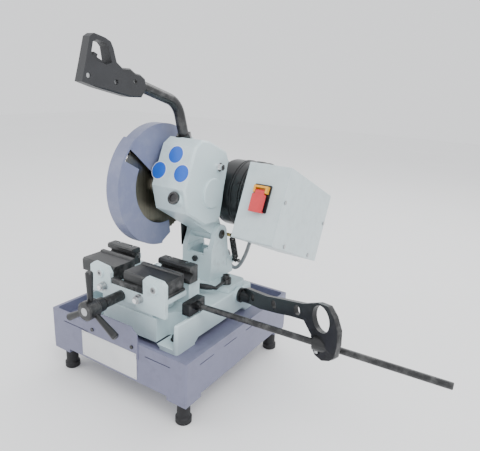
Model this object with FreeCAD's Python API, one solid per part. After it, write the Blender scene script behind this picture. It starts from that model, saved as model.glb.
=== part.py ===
import FreeCAD, Part
import math
import os
from FreeCAD import Vector

# Cold saw: a 225 mm circular blade on a tilting head, over a screw vise, on a folded drip tray.
# Millimetres. X runs along the blade's axis to the right, Y away from the operator, Z up.
# Shapes are drawn about the middle of the drip tray. They are moved at the end,
# so that the origin lies on the floor, under the middle of the front left foot.

# Driving dimensions of the stand
FOOT_R = 16.0
FOOT_INSET = 25.0
BRACKET_DROP = 10.0
TRAY_W = 370.0
TRAY_D = 385.0
TRAY_BOTTOM = 61.0
TRAY_TOP = 145.0
SHEET = 1.5
RIM = 7.5
PAN_Z = 120.0
SLOT_Z = 125.0

# Driving dimensions of the base casting
BASE_HALF_W = 128.0
BASE_FRONT = -150.0
BASE_BACK = 128.0
BASE_TOP = 180.0
BASE_ARCH_Z = 131.0
BASE_WALL = 10.0
POCKET_R = 22.0

# Turntable and column
SWIVEL_X = -30.0
SWIVEL_Y = -72.0
DISC_R = 70.0
DISC_T = 14.0
FOOT_PLATE_T = 13.0
COL_X0 = -16.0
COL_X1 = 66.0
COL_FRONT = 42.0
COL_BACK = 108.0
EAR_T = 12.0

# Head pivot and the tilt of the raised head
PIVOT_Y = 78.0
PIVOT_Z = 297.0
PIN_R = 8.0
HEAD_TILT = 23.5

# Blade, guards and gears, placed in the head's own frame, whose origin is the pivot
BLADE_R = 112.5
BLADE_T = 2.0
BLADE_X = -36.0
BLADE_Y = -132.0
BLADE_Z = 70.0
BLADE_TEETH = 80
FIXED_GUARD_R = 127.0
MOVING_GUARD_R = 131.0
GUARD_SHEET = 1.5
GEARBOX_X0 = -19.0
GEARBOX_X1 = 74.0
GEARBOX_WALL = 7.0
MODULE_OUT = 1.65
TEETH_OUT = 50
TEETH_MID_PINION = 10
MODULE_IN = 1.5
TEETH_MID = 60
TEETH_IDLER = 50
TEETH_ROTOR = 10
MID_ANGLE = 7.0
MOTOR_Y = 32.0
MOTOR_Z = 106.0

# Motor and control box
MOTOR_R = 78.0
MOTOR_X0 = 44.0
BOX_X0 = 150.0
BOX_W = 90.0
BOX_H = 159.0
BOX_D = 240.0
BOX_Y = -89.0
BOX_Z = -4.0
BOX_SHEET = 1.5

# Handle
HANDLE_X = 10.0
TUBE_R = 11.0
TUBE_BORE_R = 8.5
HANDLE_Y = -144.0
HANDLE_Z = 167.5
HANDLE_LEAN = 41.3
HANDLE_RISE = 79.5
HANDLE_DROP = 7.0
HANDLE_BEND = 50.0
HANDLE_REACH = 149.0

# Vise
VISE_X = -17.0
SCREW_Z = 207.0
SCREW_R = 8.0
ROD_SPREAD = 50.0
ROD_Z = 214.0
ROD_R = 5.0
WHEEL_Y = -228.0
SPOKE_LEN = 76.0
JAW_TOP = 266.0
BLADE_GAP_X0 = -46.0
BLADE_GAP_X1 = -19.0
REAR_GAP_X0 = -74.0
REAR_GAP_X1 = 2.0
REAR_JAW_Y = -62.0
BED_BACK = -24.0
LUG_BOSSES = ((-77.0, 240.0), (70.0, 242.0))
LUG_T = 9.0
ROD_BACK = 6.0
FRONT_JAW_Y = -82.0
JAW_LEFT = -150.0
FRONT_JAW_LEFT = -141.0
JAW_RIGHT = 88.0

# Bar stop
STOP_ROD_R = 6.0
STOP_ROD_Y = -69.0
STOP_ROD_TURN = 2.4
STOP_ROD_Z = 199.0
STOP_ROD_END = 598.0
STOP_FLANGE_Y = 68.0
STOP_FLANGE_Z = 170.0
STOP_FLANGE_R = 17.0
ARM_END_X = 384.0
STOP_BLOCK_X = 106.0

# Swivel lock lever, on the column's foot
LEVER_X = 98.0
LEVER_Y = 56.0
LEVER_Z = BASE_TOP + FOOT_PLATE_T

# Return spring between the head's rear lug and the column's lower lug
SPRING_X = COL_X1 + 9.5
SPRING_TOP_Y = 107.0
SPRING_TOP_Z = 289.0
SPRING_LOW_Y = 129.0
SPRING_LOW_Z = 222.0
SPRING_WIRE_R = 1.5
SPRING_R = 6.0
SPRING_TURNS = 9

# Lead from the control box to the column
LEAD_X = 40.0
LEAD_END_Z = 236.0
LEAD_R = 4.5
GLAND_Y = 70.0
GLAND_Z = 14.0

# Small parts of the head, placed in its own frame
PLUG_X = 51.5
PLUG_Z = 40.0
PLUG_FRONT = -177.0
OIL_Y = -90.0
OIL_Z = 133.0
SWITCH_X = 45.0
SWITCH_Z = 84.0
BUTTON_DZ = (2.0, -14.0)
FIXED_START = -22.0
FIXED_END = 162.0
MOVING_START = 174.5
MOVING_END = 304.0
GRIP_HALF = 12.0
GRIP_SCREWS = ((-328, 211), (-368, 192), (-423, 178))
GRIP_TAPER = 4.0
COVER_T = 9.0
HOUSING_GEAR_X0 = 8.0

# Clearances
FIT = 0.05
GAP = 0.3

X_AXIS = Vector(1, 0, 0)
Y_AXIS = Vector(0, 1, 0)
Z_AXIS = Vector(0, 0, 1)

NODES = {}


def keep(name, *shapes):
    """Add solids to one node; alike fasteners and pins of one body share a node."""
    NODES.setdefault(name, []).extend(shapes)


def cut_node(name, tool):
    """Cut a hole through every solid kept so far under one name."""
    NODES[name] = [shape.cut(tool) for shape in NODES[name]]


def box(x0, x1, y0, y1, z0, z1):
    return Part.makeBox(x1 - x0, y1 - y0, z1 - z0, Vector(x0, y0, z0))


def cyl_x(r, x0, x1, y, z):
    return Part.makeCylinder(r, x1 - x0, Vector(x0, y, z), X_AXIS)


def cyl_y(r, y0, y1, x, z):
    return Part.makeCylinder(r, y1 - y0, Vector(x, y0, z), Y_AXIS)


def cyl_z(r, z0, z1, x, y):
    return Part.makeCylinder(r, z1 - z0, Vector(x, y, z0), Z_AXIS)


def fuse(shapes):
    first = shapes[0]
    result = first.fuse(list(shapes[1:])) if len(shapes) > 1 else first
    return result.removeSplitter()


def prism_x(points, x0, x1):
    """A flat outline in the YZ plane, pushed from x0 to x1."""
    wire = Part.makePolygon([Vector(x0, y, z) for y, z in points + points[:1]])
    return Part.Face(wire).extrude(Vector(x1 - x0, 0, 0))


def prism_y(points, y0, y1):
    """A flat outline in the XZ plane, pushed from y0 to y1."""
    wire = Part.makePolygon([Vector(x, y0, z) for x, z in points + points[:1]])
    return Part.Face(wire).extrude(Vector(0, y1 - y0, 0))


def prism_z(points, z0, z1):
    """A flat outline in the XY plane, pushed from z0 to z1."""
    wire = Part.makePolygon([Vector(x, y, z0) for x, y in points + points[:1]])
    return Part.Face(wire).extrude(Vector(0, 0, z1 - z0))


def hexagon(r, h, base, axis):
    """A six-sided head with corner radius r, standing on base along axis."""
    side = Vector(0, 0, 1).cross(axis)
    if side.Length < 0.1:
        side = Vector(1, 0, 0)
    side.normalize()
    up = axis.cross(side)
    points = []
    for i in range(7):
        a = math.radians(60 * i)
        points.append(base + side * (r * math.cos(a)) + up * (r * math.sin(a)))
    return Part.Face(Part.makePolygon(points)).extrude(axis * h)


def socket_screw(r, length, head_r, head_h, base, axis):
    """A cap screw whose head stands on base and whose shank runs the other way."""
    head = Part.makeCylinder(head_r, head_h, base, axis)
    shank = Part.makeCylinder(r, length, base - axis * length, axis)
    hollow = hexagon(head_r * 0.55, head_h * 0.6, base + axis * (head_h * 0.4), axis)
    return fuse([head, shank]).cut(hollow)


def edges_where(shape, test):
    return [e for e in shape.Edges if test(e)]


def is_parallel(edge, axis):
    if edge.Curve.TypeId != "Part::GeomLine":
        return False
    direction = edge.Vertexes[1].Point - edge.Vertexes[0].Point
    return direction.cross(axis).Length < 1e-6 * direction.Length


def head_place(shape):
    """Carry a shape from the head's own frame to its raised place on the machine."""
    moved = shape.copy()
    moved.rotate(Vector(0, 0, 0), X_AXIS, -HEAD_TILT)
    moved.translate(Vector(0, PIVOT_Y, PIVOT_Z))
    return moved


def keep_head(name, *shapes):
    keep(name, *[head_place(s) for s in shapes])


def polar(radius, degrees):
    a = math.radians(degrees)
    return radius * math.cos(a), radius * math.sin(a)


def make_drip_tray():
    """A folded sheet tray: outer skirt, flat rim, inner wall and pan, open below."""
    hw = TRAY_W / 2
    hd = TRAY_D / 2
    outer = box(-hw, hw, -hd, hd, TRAY_BOTTOM, TRAY_TOP)
    outer = outer.makeFillet(4.0, edges_where(outer, lambda e: is_parallel(e, Z_AXIS)))
    under = box(-hw + SHEET, hw - SHEET, -hd + SHEET, hd - SHEET, TRAY_BOTTOM - 1, TRAY_TOP - SHEET)
    inner = RIM - SHEET
    pan_block = box(-hw + inner, hw - inner, -hd + inner, hd - inner, PAN_Z - SHEET, TRAY_TOP - SHEET)
    pan_hole = box(-hw + RIM, hw - RIM, -hd + RIM, hd - RIM, PAN_Z, TRAY_TOP + 1)
    pan_hole = pan_hole.makeFillet(8.0, edges_where(pan_hole, lambda e: is_parallel(e, Z_AXIS)))
    tray = outer.cut(under).fuse(pan_block).cut(pan_hole)
    slots = []
    for x0, x1 in ((-147, -85), (-27, 35), (85, 147)):
        for side in (-1, 1):
            y = side * hd
            slots.append(box(x0, x1, y - SHEET - 0.4, y + SHEET + 0.4, SLOT_Z - 1, SLOT_Z + 1))
    for y0, y1 in ((-152, -108), (-72, -28), (8, 52)):
        for side in (-1, 1):
            x = side * hw
            slots.append(box(x - SHEET - 0.4, x + SHEET + 0.4, y0, y1, SLOT_Z - 1, SLOT_Z + 1))
    keep("drip_tray", tray.cut(Part.makeCompound(slots)))


def make_feet():
    """Corner brackets under the tray, and the rubber feet with their screws."""
    hw = TRAY_W / 2
    hd = TRAY_D / 2
    leg = 34.0
    brackets = []
    feet = []
    screws = []
    for sx in (-1, 1):
        for sy in (-1, 1):
            x_out = sx * (hw - SHEET)
            y_out = sy * (hd - SHEET)
            x_in = sx * (hw - leg - 14)
            y_in = sy * (hd - leg - 14)
            plate = box(min(x_out, x_in), max(x_out, x_in), min(y_out, y_in), max(y_out, y_in),
                        TRAY_BOTTOM - BRACKET_DROP, TRAY_BOTTOM - BRACKET_DROP + 3)
            side_x = box(min(x_out, x_out - sx * 3), max(x_out, x_out - sx * 3),
                         min(y_out, y_in), max(y_out, y_in), TRAY_BOTTOM - BRACKET_DROP, TRAY_BOTTOM + 14)
            side_y = box(min(x_out, x_in), max(x_out, x_in),
                         min(y_out, y_out - sy * 3), max(y_out, y_out - sy * 3),
                         TRAY_BOTTOM - BRACKET_DROP, TRAY_BOTTOM + 14)
            fx = sx * (hw - FOOT_INSET)
            fy = sy * (hd - FOOT_INSET)
            hole = cyl_z(4.2, TRAY_BOTTOM - BRACKET_DROP - 1, TRAY_BOTTOM, fx, fy)
            brackets.append(fuse([plate, side_x, side_y]).cut(hole))
            z_top = TRAY_BOTTOM - BRACKET_DROP
            profile = [(0, 0), (FOOT_R - 1.5, 0), (FOOT_R, 1.5), (FOOT_R, 12), (FOOT_R - 3, 15),
                       (FOOT_R - 3, z_top - 5), (FOOT_R - 1, z_top - 2), (FOOT_R - 1, z_top), (0, z_top)]
            wire = Part.makePolygon([Vector(fx + r, fy, z) for r, z in profile + profile[:1]])
            foot = Part.Face(wire).revolve(Vector(fx, fy, 0), Z_AXIS, 360)
            feet.append(foot.cut(cyl_z(4.0, 20, z_top + 1, fx, fy)))
            shank = cyl_z(3.8, 21, z_top + 3, fx, fy)
            head = hexagon(7.0, 5.0, Vector(fx, fy, z_top + 3), Z_AXIS)
            screws.append(fuse([shank, head]))
    keep("corner_brackets", *brackets)
    keep("rubber_feet", *feet)
    keep("stand_bolts", *screws)


def make_splash_plate():
    """The upright plate screwed to the tray's front, with its chamfered top corners."""
    y1 = -TRAY_D / 2
    outline = [(-71, 112), (68, 112), (68, 164), (52, 178), (-56, 178), (-71, 164)]
    plate = prism_y(outline, y1 - 1.5, y1)
    screws = []
    holes = []
    for x in (-57, 53):
        holes.append(cyl_y(2.2, y1 - 3, y1 + 1, x, 135))
        head = cyl_y(4.0, y1 - 3.6, y1 - 1.5, x, 135)
        shank = cyl_y(2.1, y1 - 1.6, y1 + 3.5, x, 135)
        screws.append(fuse([head, shank]))
    keep("splash_plate", plate.cut(Part.makeCompound(holes)))
    for x in (-57, 53):
        cut_node("drip_tray", cyl_y(2.3, y1 - 1, y1 + SHEET + 1, x, 135))
    keep("stand_bolts", *screws)


def make_base_casting():
    """The base casting: a hollow block on four lugs, arched between them, bolt pockets scooped out."""
    draft = 4.0
    low = [(-BASE_HALF_W, BASE_FRONT), (BASE_HALF_W, BASE_FRONT),
           (BASE_HALF_W, BASE_BACK), (-BASE_HALF_W, BASE_BACK)]
    high = [(-BASE_HALF_W + draft, BASE_FRONT + draft), (BASE_HALF_W - draft, BASE_FRONT + draft),
            (BASE_HALF_W - draft, BASE_BACK - draft), (-BASE_HALF_W + draft, BASE_BACK - draft)]
    wires = [Part.makePolygon([Vector(x, y, PAN_Z) for x, y in low + low[:1]]),
             Part.makePolygon([Vector(x, y, BASE_TOP) for x, y in high + high[:1]])]
    block = Part.makeLoft(wires, True)
    upright = [e for e in block.Edges if abs(e.Vertexes[0].Z - e.Vertexes[-1].Z) > 20]
    block = block.makeFillet(6.0, upright)
    top_edges = [e for e in block.Edges if all(abs(v.Z - BASE_TOP) < 0.01 for v in e.Vertexes)]
    block = block.makeFillet(3.0, top_edges)
    inside = box(-BASE_HALF_W + draft + BASE_WALL, BASE_HALF_W - draft - BASE_WALL,
                 BASE_FRONT + draft + BASE_WALL, BASE_BACK - draft - BASE_WALL, PAN_Z - 1, BASE_TOP - 24)
    arch_x = [(-84, PAN_Z - 1), (84, PAN_Z - 1), (84, PAN_Z + 3), (74, BASE_ARCH_Z),
              (-74, BASE_ARCH_Z), (-84, PAN_Z + 3)]
    arch_y = [(-94, PAN_Z - 1), (96, PAN_Z - 1), (96, PAN_Z + 3), (84, BASE_ARCH_Z),
              (-82, BASE_ARCH_Z), (-94, PAN_Z + 3)]
    cuts = [inside, prism_y(arch_x, BASE_FRONT - 1, BASE_BACK + 1), prism_x(arch_y, -BASE_HALF_W - 1, BASE_HALF_W + 1)]
    bolts = []
    pillars = []
    ledge = PAN_Z + 9.0
    for sx in (-1, 1):
        for sy in (-1, 1):
            bx = sx * 96.0
            by = -116.0 if sy < 0 else 96.0
            y_edge = BASE_FRONT - 5 if sy < 0 else BASE_BACK + 5
            pocket_top = BASE_TOP + 1 if sy < 0 else BASE_TOP - 12
            cuts.append(pocket_block(bx, by, y_edge, POCKET_R, ledge, pocket_top))
            pillars.append(pocket_block(bx, by, y_edge, POCKET_R + 7, PAN_Z, BASE_TOP - 20).common(block))
            cuts.append(cyl_z(5.5, PAN_Z - 1, ledge + 1, bx, by))
            shank = cyl_z(5.0, PAN_Z - 8, ledge, bx, by)
            washer = cyl_z(10.0, ledge, ledge + 2, bx, by)
            head = hexagon(8.5, 7.0, Vector(bx, by, ledge + 2), Z_AXIS)
            bolts.append(fuse([shank, washer, head]))
    recess = cyl_z(DISC_R + GAP, BASE_TOP - DISC_T, BASE_TOP + 1, SWIVEL_X, SWIVEL_Y)
    kingpin = cyl_z(10 + FIT, BASE_TOP - 40, BASE_TOP, SWIVEL_X, SWIVEL_Y)
    hub = cyl_z(20, BASE_TOP - 36, BASE_TOP - DISC_T, SWIVEL_X, SWIVEL_Y)
    casting = fuse([block.cut(cuts[0]), hub] + pillars)
    for tool in cuts[1:]:
        casting = casting.cut(tool)
    casting = casting.cut(recess).cut(kingpin)
    slot_r = math.hypot(LEVER_X - SWIVEL_X, LEVER_Y - SWIVEL_Y)
    start = math.degrees(math.atan2(LEVER_Y - SWIVEL_Y, LEVER_X - SWIVEL_X))
    slot = arc_slot(slot_r, 13.0, start - 1, start + 46, BASE_TOP - 30, BASE_TOP + 1)
    flange_boss = cyl_x(STOP_FLANGE_R, BASE_HALF_W - 7, BASE_HALF_W + 2, STOP_FLANGE_Y, STOP_FLANGE_Z)
    relief = arc_slot(slot_r, 22.0, start - 1, start + 46, BASE_TOP - 38, BASE_TOP - 23)
    casting = casting.cut(slot).cut(relief).fuse(flange_boss)
    casting = casting.cut(cyl_x(9 + FIT, BASE_HALF_W - 15, BASE_HALF_W + 3, STOP_FLANGE_Y, STOP_FLANGE_Z))
    keep("base_casting", casting.removeSplitter())
    for bolt in bolts:
        c = bolt.BoundBox.Center
        cut_node("drip_tray", cyl_z(5.5, PAN_Z - 5, PAN_Z + 1, c.x, c.y))
    keep("stand_bolts", *bolts)


def pocket_block(x, y, y_edge, r, z0, z1):
    """A round-backed block that runs from x, y straight out to y_edge."""
    mouth = box(x - r, x + r, min(y, y_edge), max(y, y_edge), z0, z1)
    return fuse([cyl_z(r, z0, z1, x, y), mouth])


def arc_slot(radius, width, start, end, z0, z1):
    """A curved slot about the swivel centre, with round ends."""
    def ring(r):
        return Part.makeCylinder(r, z1 - z0, Vector(SWIVEL_X, SWIVEL_Y, z0), Z_AXIS, end - start)
    outer = ring(radius + width / 2)
    inner = ring(radius - width / 2)
    sector = outer.cut(inner)
    sector.rotate(Vector(SWIVEL_X, SWIVEL_Y, 0), Z_AXIS, start)
    ends = []
    for a in (start, end):
        dx, dy = polar(radius, a)
        ends.append(cyl_z(width / 2, z0, z1, SWIVEL_X + dx, SWIVEL_Y + dy))
    return fuse([sector] + ends)


def make_turntable():
    """The turntable disc and its column, with two ears for the head's pivot pin."""
    disc = cyl_z(DISC_R, BASE_TOP - DISC_T + GAP, BASE_TOP, SWIVEL_X, SWIVEL_Y)
    z1 = BASE_TOP + FOOT_PLATE_T
    neck_front = 4.0
    foot = prism_z([(-44, neck_front), (66, neck_front), (84, 30), (118, 36), (118, 100), (110, 108),
                    (-36, 108), (-44, 100)], BASE_TOP + GAP, z1)
    link = box(-44, 30, -14, neck_front + 2, BASE_TOP + GAP, BASE_TOP + 6)
    tongue = box(-44, -6, -14, -10, BASE_TOP - DISC_T + 2, BASE_TOP + 6)
    side = [(COL_FRONT - 6, z1 - 1), (COL_BACK + 22, z1 - 1), (COL_BACK + 20, z1 + 12), (COL_BACK, PIVOT_Z - 46),
            (PIVOT_Y + 22, PIVOT_Z), (PIVOT_Y - 22, PIVOT_Z), (COL_FRONT, PIVOT_Z - 34), (COL_FRONT, z1 + 40)]
    body = prism_x(side, COL_X0, COL_X1)
    cheek = cyl_x(22, COL_X0, COL_X1, PIVOT_Y, PIVOT_Z)
    column = fuse([body, cheek])
    throat = box(COL_X0 + EAR_T, COL_X1 - EAR_T, COL_FRONT - 20, COL_BACK + 30, PIVOT_Z - 30, PIVOT_Z + 40)
    hollow = box(COL_X0 + 10, COL_X1 - 10, COL_FRONT + 12, COL_BACK - 6, z1 - 20, PIVOT_Z - 42)
    window = box(COL_X0 + 14, COL_X1 - 22, COL_FRONT - 10, COL_BACK + 30, PIVOT_Z - 46, PIVOT_Z - 29)
    lug = fuse([cyl_x(9, COL_X1 - 8, COL_X1 + 1, SPRING_LOW_Y, SPRING_LOW_Z),
                box(COL_X1 - 8, COL_X1 + 1, COL_BACK - 4, SPRING_LOW_Y, SPRING_LOW_Z - 9, SPRING_LOW_Z + 9)])
    column = fuse([column.cut(throat).cut(window), foot, link, tongue, disc, lug])
    column = column.cut(hollow)
    column = column.cut(cyl_x(PIN_R + FIT, COL_X0 - 1, COL_X1 + 1, PIVOT_Y, PIVOT_Z))
    column = column.cut(cyl_z(10 + FIT, BASE_TOP - DISC_T, BASE_TOP + 1, SWIVEL_X, SWIVEL_Y))
    column = column.cut(cyl_z(6.3, BASE_TOP - 1, z1 + 1, LEVER_X, LEVER_Y))
    column = column.cut(cyl_x(4 + FIT, COL_X1 - 2, COL_X1 + 11, SPRING_LOW_Y, SPRING_LOW_Z))
    column = column.cut(cyl_y(4.3, COL_FRONT - 2, COL_FRONT + 14, 22, 240))
    column = column.cut(cyl_y(6.0 + FIT, COL_BACK - 8, COL_BACK + 24, LEAD_X, LEAD_END_Z))
    keep("turntable_column", column)
    pin = cyl_x(PIN_R, COL_X0 - 2, COL_X1 + 2, PIVOT_Y, PIVOT_Z)
    ring = cyl_x(10.5, COL_X1 + GAP, COL_X1 + 2.2, PIVOT_Y, PIVOT_Z).cut(
        cyl_x(PIN_R - 1, COL_X1, COL_X1 + 3, PIVOT_Y, PIVOT_Z))
    keep("turntable_pins", fuse([pin, ring]))
    kingpin = cyl_z(10, BASE_TOP - 40, BASE_TOP - 0.5, SWIVEL_X, SWIVEL_Y)
    flange = cyl_z(16, BASE_TOP - 44, BASE_TOP - 40, SWIVEL_X, SWIVEL_Y)
    keep("turntable_pins", fuse([kingpin, flange]))
    bolt = fuse([cyl_y(4.2, COL_FRONT - 1, COL_FRONT + 12, 22, 240),
                 hexagon(7.0, 6.0, Vector(22, COL_FRONT, 240), Vector(0, -1, 0))])
    keep("turntable_pins", bolt)
    knob = fuse([cyl_y(3.0, 60, 74, COL_X0 - 7, 236), cyl_x(3.0, COL_X0 - 8, COL_X0, 67, 236)])
    keep("turntable_pins", knob)


def make_lever():
    """The swivel lock: a clamp stud with a nut, its bent lever and the moulded grip."""
    stud = fuse([cyl_z(6.0, BASE_TOP - 27, LEVER_Z + 16, LEVER_X, LEVER_Y),
                 cyl_z(9.5, BASE_TOP - 36, BASE_TOP - 27, LEVER_X, LEVER_Y)])
    keep("turntable_pins", stud)
    hub = cyl_z(12, LEVER_Z + GAP, LEVER_Z + 13, LEVER_X, LEVER_Y)
    elbow = Vector(LEVER_X + 8, 6, LEVER_Z + 8)
    tip = Vector(50, -14.5, LEVER_Z + 8)
    start = Vector(LEVER_X, LEVER_Y, LEVER_Z + 8)
    arm = Part.makeCylinder(4.0, (elbow - start).Length, start, elbow - start)
    knee = Part.makeSphere(4.0, elbow)
    along = (tip - elbow).normalize()
    stub = Part.makeCylinder(4.0, 14, elbow, along)
    lever = fuse([hub, arm, knee, stub]).cut(cyl_z(6.0 + FIT, LEVER_Z, LEVER_Z + 20, LEVER_X, LEVER_Y))
    keep("swivel_lever", lever)
    grip_start = elbow + along * 8
    length = (tip - grip_start).Length
    cone = Part.makeCone(5.0, 6.5, length * 0.25, grip_start, along)
    barrel = Part.makeCylinder(6.5, length * 0.75, grip_start + along * (length * 0.25), along)
    socket = Part.makeCylinder(4.0, 6.0, grip_start, along)
    keep("swivel_lever_grip", fuse([cone, barrel]).cut(socket))
    nut = hexagon(9.0, 7.0, Vector(LEVER_X, LEVER_Y, LEVER_Z + 13.2), Z_AXIS)
    keep("swivel_lever", nut.cut(cyl_z(6.0, LEVER_Z, LEVER_Z + 30, LEVER_X, LEVER_Y)))


def rotated_bar(x0, x1, start, end, width):
    """A flat bar between two points of the YZ plane."""
    dy = end[0] - start[0]
    dz = end[1] - start[1]
    length = math.hypot(dy, dz)
    bar = box(x0, x1, 0, length, -width / 2, width / 2)
    bar.rotate(Vector(0, 0, 0), X_AXIS, math.degrees(math.atan2(dz, dy)))
    bar.translate(Vector(0, start[0], start[1]))
    return bar


def make_return_spring():
    """A tension spring wound as one unbroken wire, on two shouldered pins."""
    low = Vector(SPRING_X, SPRING_LOW_Y, SPRING_LOW_Z)
    high = Vector(SPRING_X, SPRING_TOP_Y, SPRING_TOP_Z)
    length = (high - low).Length
    end_gap = 9.0
    pitch = (length - 2 * end_gap) / SPRING_TURNS
    steps_per_turn = 16
    path = []
    for i in range(steps_per_turn * SPRING_TURNS + 1):
        turn = i / steps_per_turn
        y, z = polar(SPRING_R, 360.0 * turn)
        path.append(Vector(y, z, end_gap + pitch * turn))
    ring = hexagon(SPRING_WIRE_R, 1.0, path[0], (path[1] - path[0]).normalize())
    section = Part.Wire(ring.Faces[-1].OuterWire.Edges)
    coil = Part.makePolygon(path).makePipeShell([section], True, False, 1)
    gap = pitch - 2 * SPRING_WIRE_R
    print("return spring: least gap between turns %.2f mm" % gap)
    tilt = math.degrees(math.atan2(SPRING_TOP_Y - SPRING_LOW_Y, SPRING_TOP_Z - SPRING_LOW_Z))
    coil.rotate(Vector(0, 0, 0), X_AXIS, -tilt)
    coil.translate(low)
    keep("return_spring", coil)
    keep("turntable_pins", spring_pin(COL_X1 - 2, SPRING_LOW_Y, SPRING_LOW_Z))
    y, z = SPRING_HEAD
    keep_head("head_pins", spring_pin(COL_X1 - EAR_T - 10, y, z))


def spring_pin(x0, y, z):
    """A shouldered pin with a head, long enough to carry the spring's end."""
    return fuse([cyl_x(4.0, x0, SPRING_X - 2, y, z), cyl_x(3.0, SPRING_X - 3, SPRING_X + 8, y, z),
                 cyl_x(5.0, SPRING_X + 7, SPRING_X + 9, y, z)])


def gear(teeth, module, x0, x1, centre, tooth_angle, bore):
    """A straight-toothed gear with near-involute flanks and backlash, one tooth centred on tooth_angle."""
    pitch_r = module * teeth / 2
    tip_r = pitch_r + 0.92 * module
    root_r = pitch_r - 1.2 * module
    step = 2 * math.pi / teeth
    half_tooth = step * 0.225
    offset = math.radians(tooth_angle)
    points = []
    for i in range(teeth):
        a = offset + i * step
        for r, spread in ((root_r, -1.5), (tip_r, -0.5), (tip_r, 0.5), (root_r, 1.5)):
            points.append((r, a + half_tooth * spread))
    outline = [(centre[0] + r * math.cos(a), centre[1] + r * math.sin(a)) for r, a in points]
    body = prism_x(outline, x0, x1)
    if bore > 0:
        body = body.cut(cyl_x(bore, x0 - 1, x1 + 1, centre[0], centre[1]))
    return body


def gear_centres():
    """Centres of the blade shaft, the middle shaft and the idler, in the head's frame."""
    out = (BLADE_Y, BLADE_Z)
    dy, dz = polar(MODULE_OUT * (TEETH_OUT + TEETH_MID_PINION) / 2, MID_ANGLE)
    mid = (out[0] + dy, out[1] + dz)
    side_mid = MODULE_IN * (TEETH_MID + TEETH_IDLER) / 2
    side_rotor = MODULE_IN * (TEETH_IDLER + TEETH_ROTOR) / 2
    span = math.hypot(MOTOR_Y - mid[0], MOTOR_Z - mid[1])
    opening = math.acos((side_mid ** 2 + span ** 2 - side_rotor ** 2) / (2 * side_mid * span))
    angle = math.degrees(math.atan2(MOTOR_Z - mid[1], MOTOR_Y - mid[0]) + opening)
    dy, dz = polar(side_mid, angle)
    return out, mid, (mid[0] + dy, mid[1] + dz), angle


OUT_C, MID_C, IDLER_C, IDLER_ANGLE = gear_centres()
ROTOR_C = (MOTOR_Y, MOTOR_Z)


def meshing_tooth(teeth, tooth_angle, line_angle, mate_teeth):
    """The tooth angle that puts a mating gear in mesh across the line of centres at line_angle."""
    step = 360.0 / teeth
    phase = ((line_angle - tooth_angle) / step) % 1.0
    return line_angle + 180 + (phase + 0.5) * 360.0 / mate_teeth



GEARBOX_OUTLINE = [(-181, 58), (-181, 146), (-166, 166), (-140, 172), (-74, 172), (-58, 158),
                   (-52, 126), (-46, 90), (-41, 72), (-34, 34), (-44, 20), (-84, 6), (-150, 16)]


def offset_outline(points, inset):
    """The same outline drawn in by inset towards its inside."""
    wire = Part.makePolygon([Vector(0, y, z) for y, z in points + points[:1]])
    return [(v.Point.y, v.Point.z) for v in wire.makeOffset2D(-inset, 2, False, False).OrderedVertexes]


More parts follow.
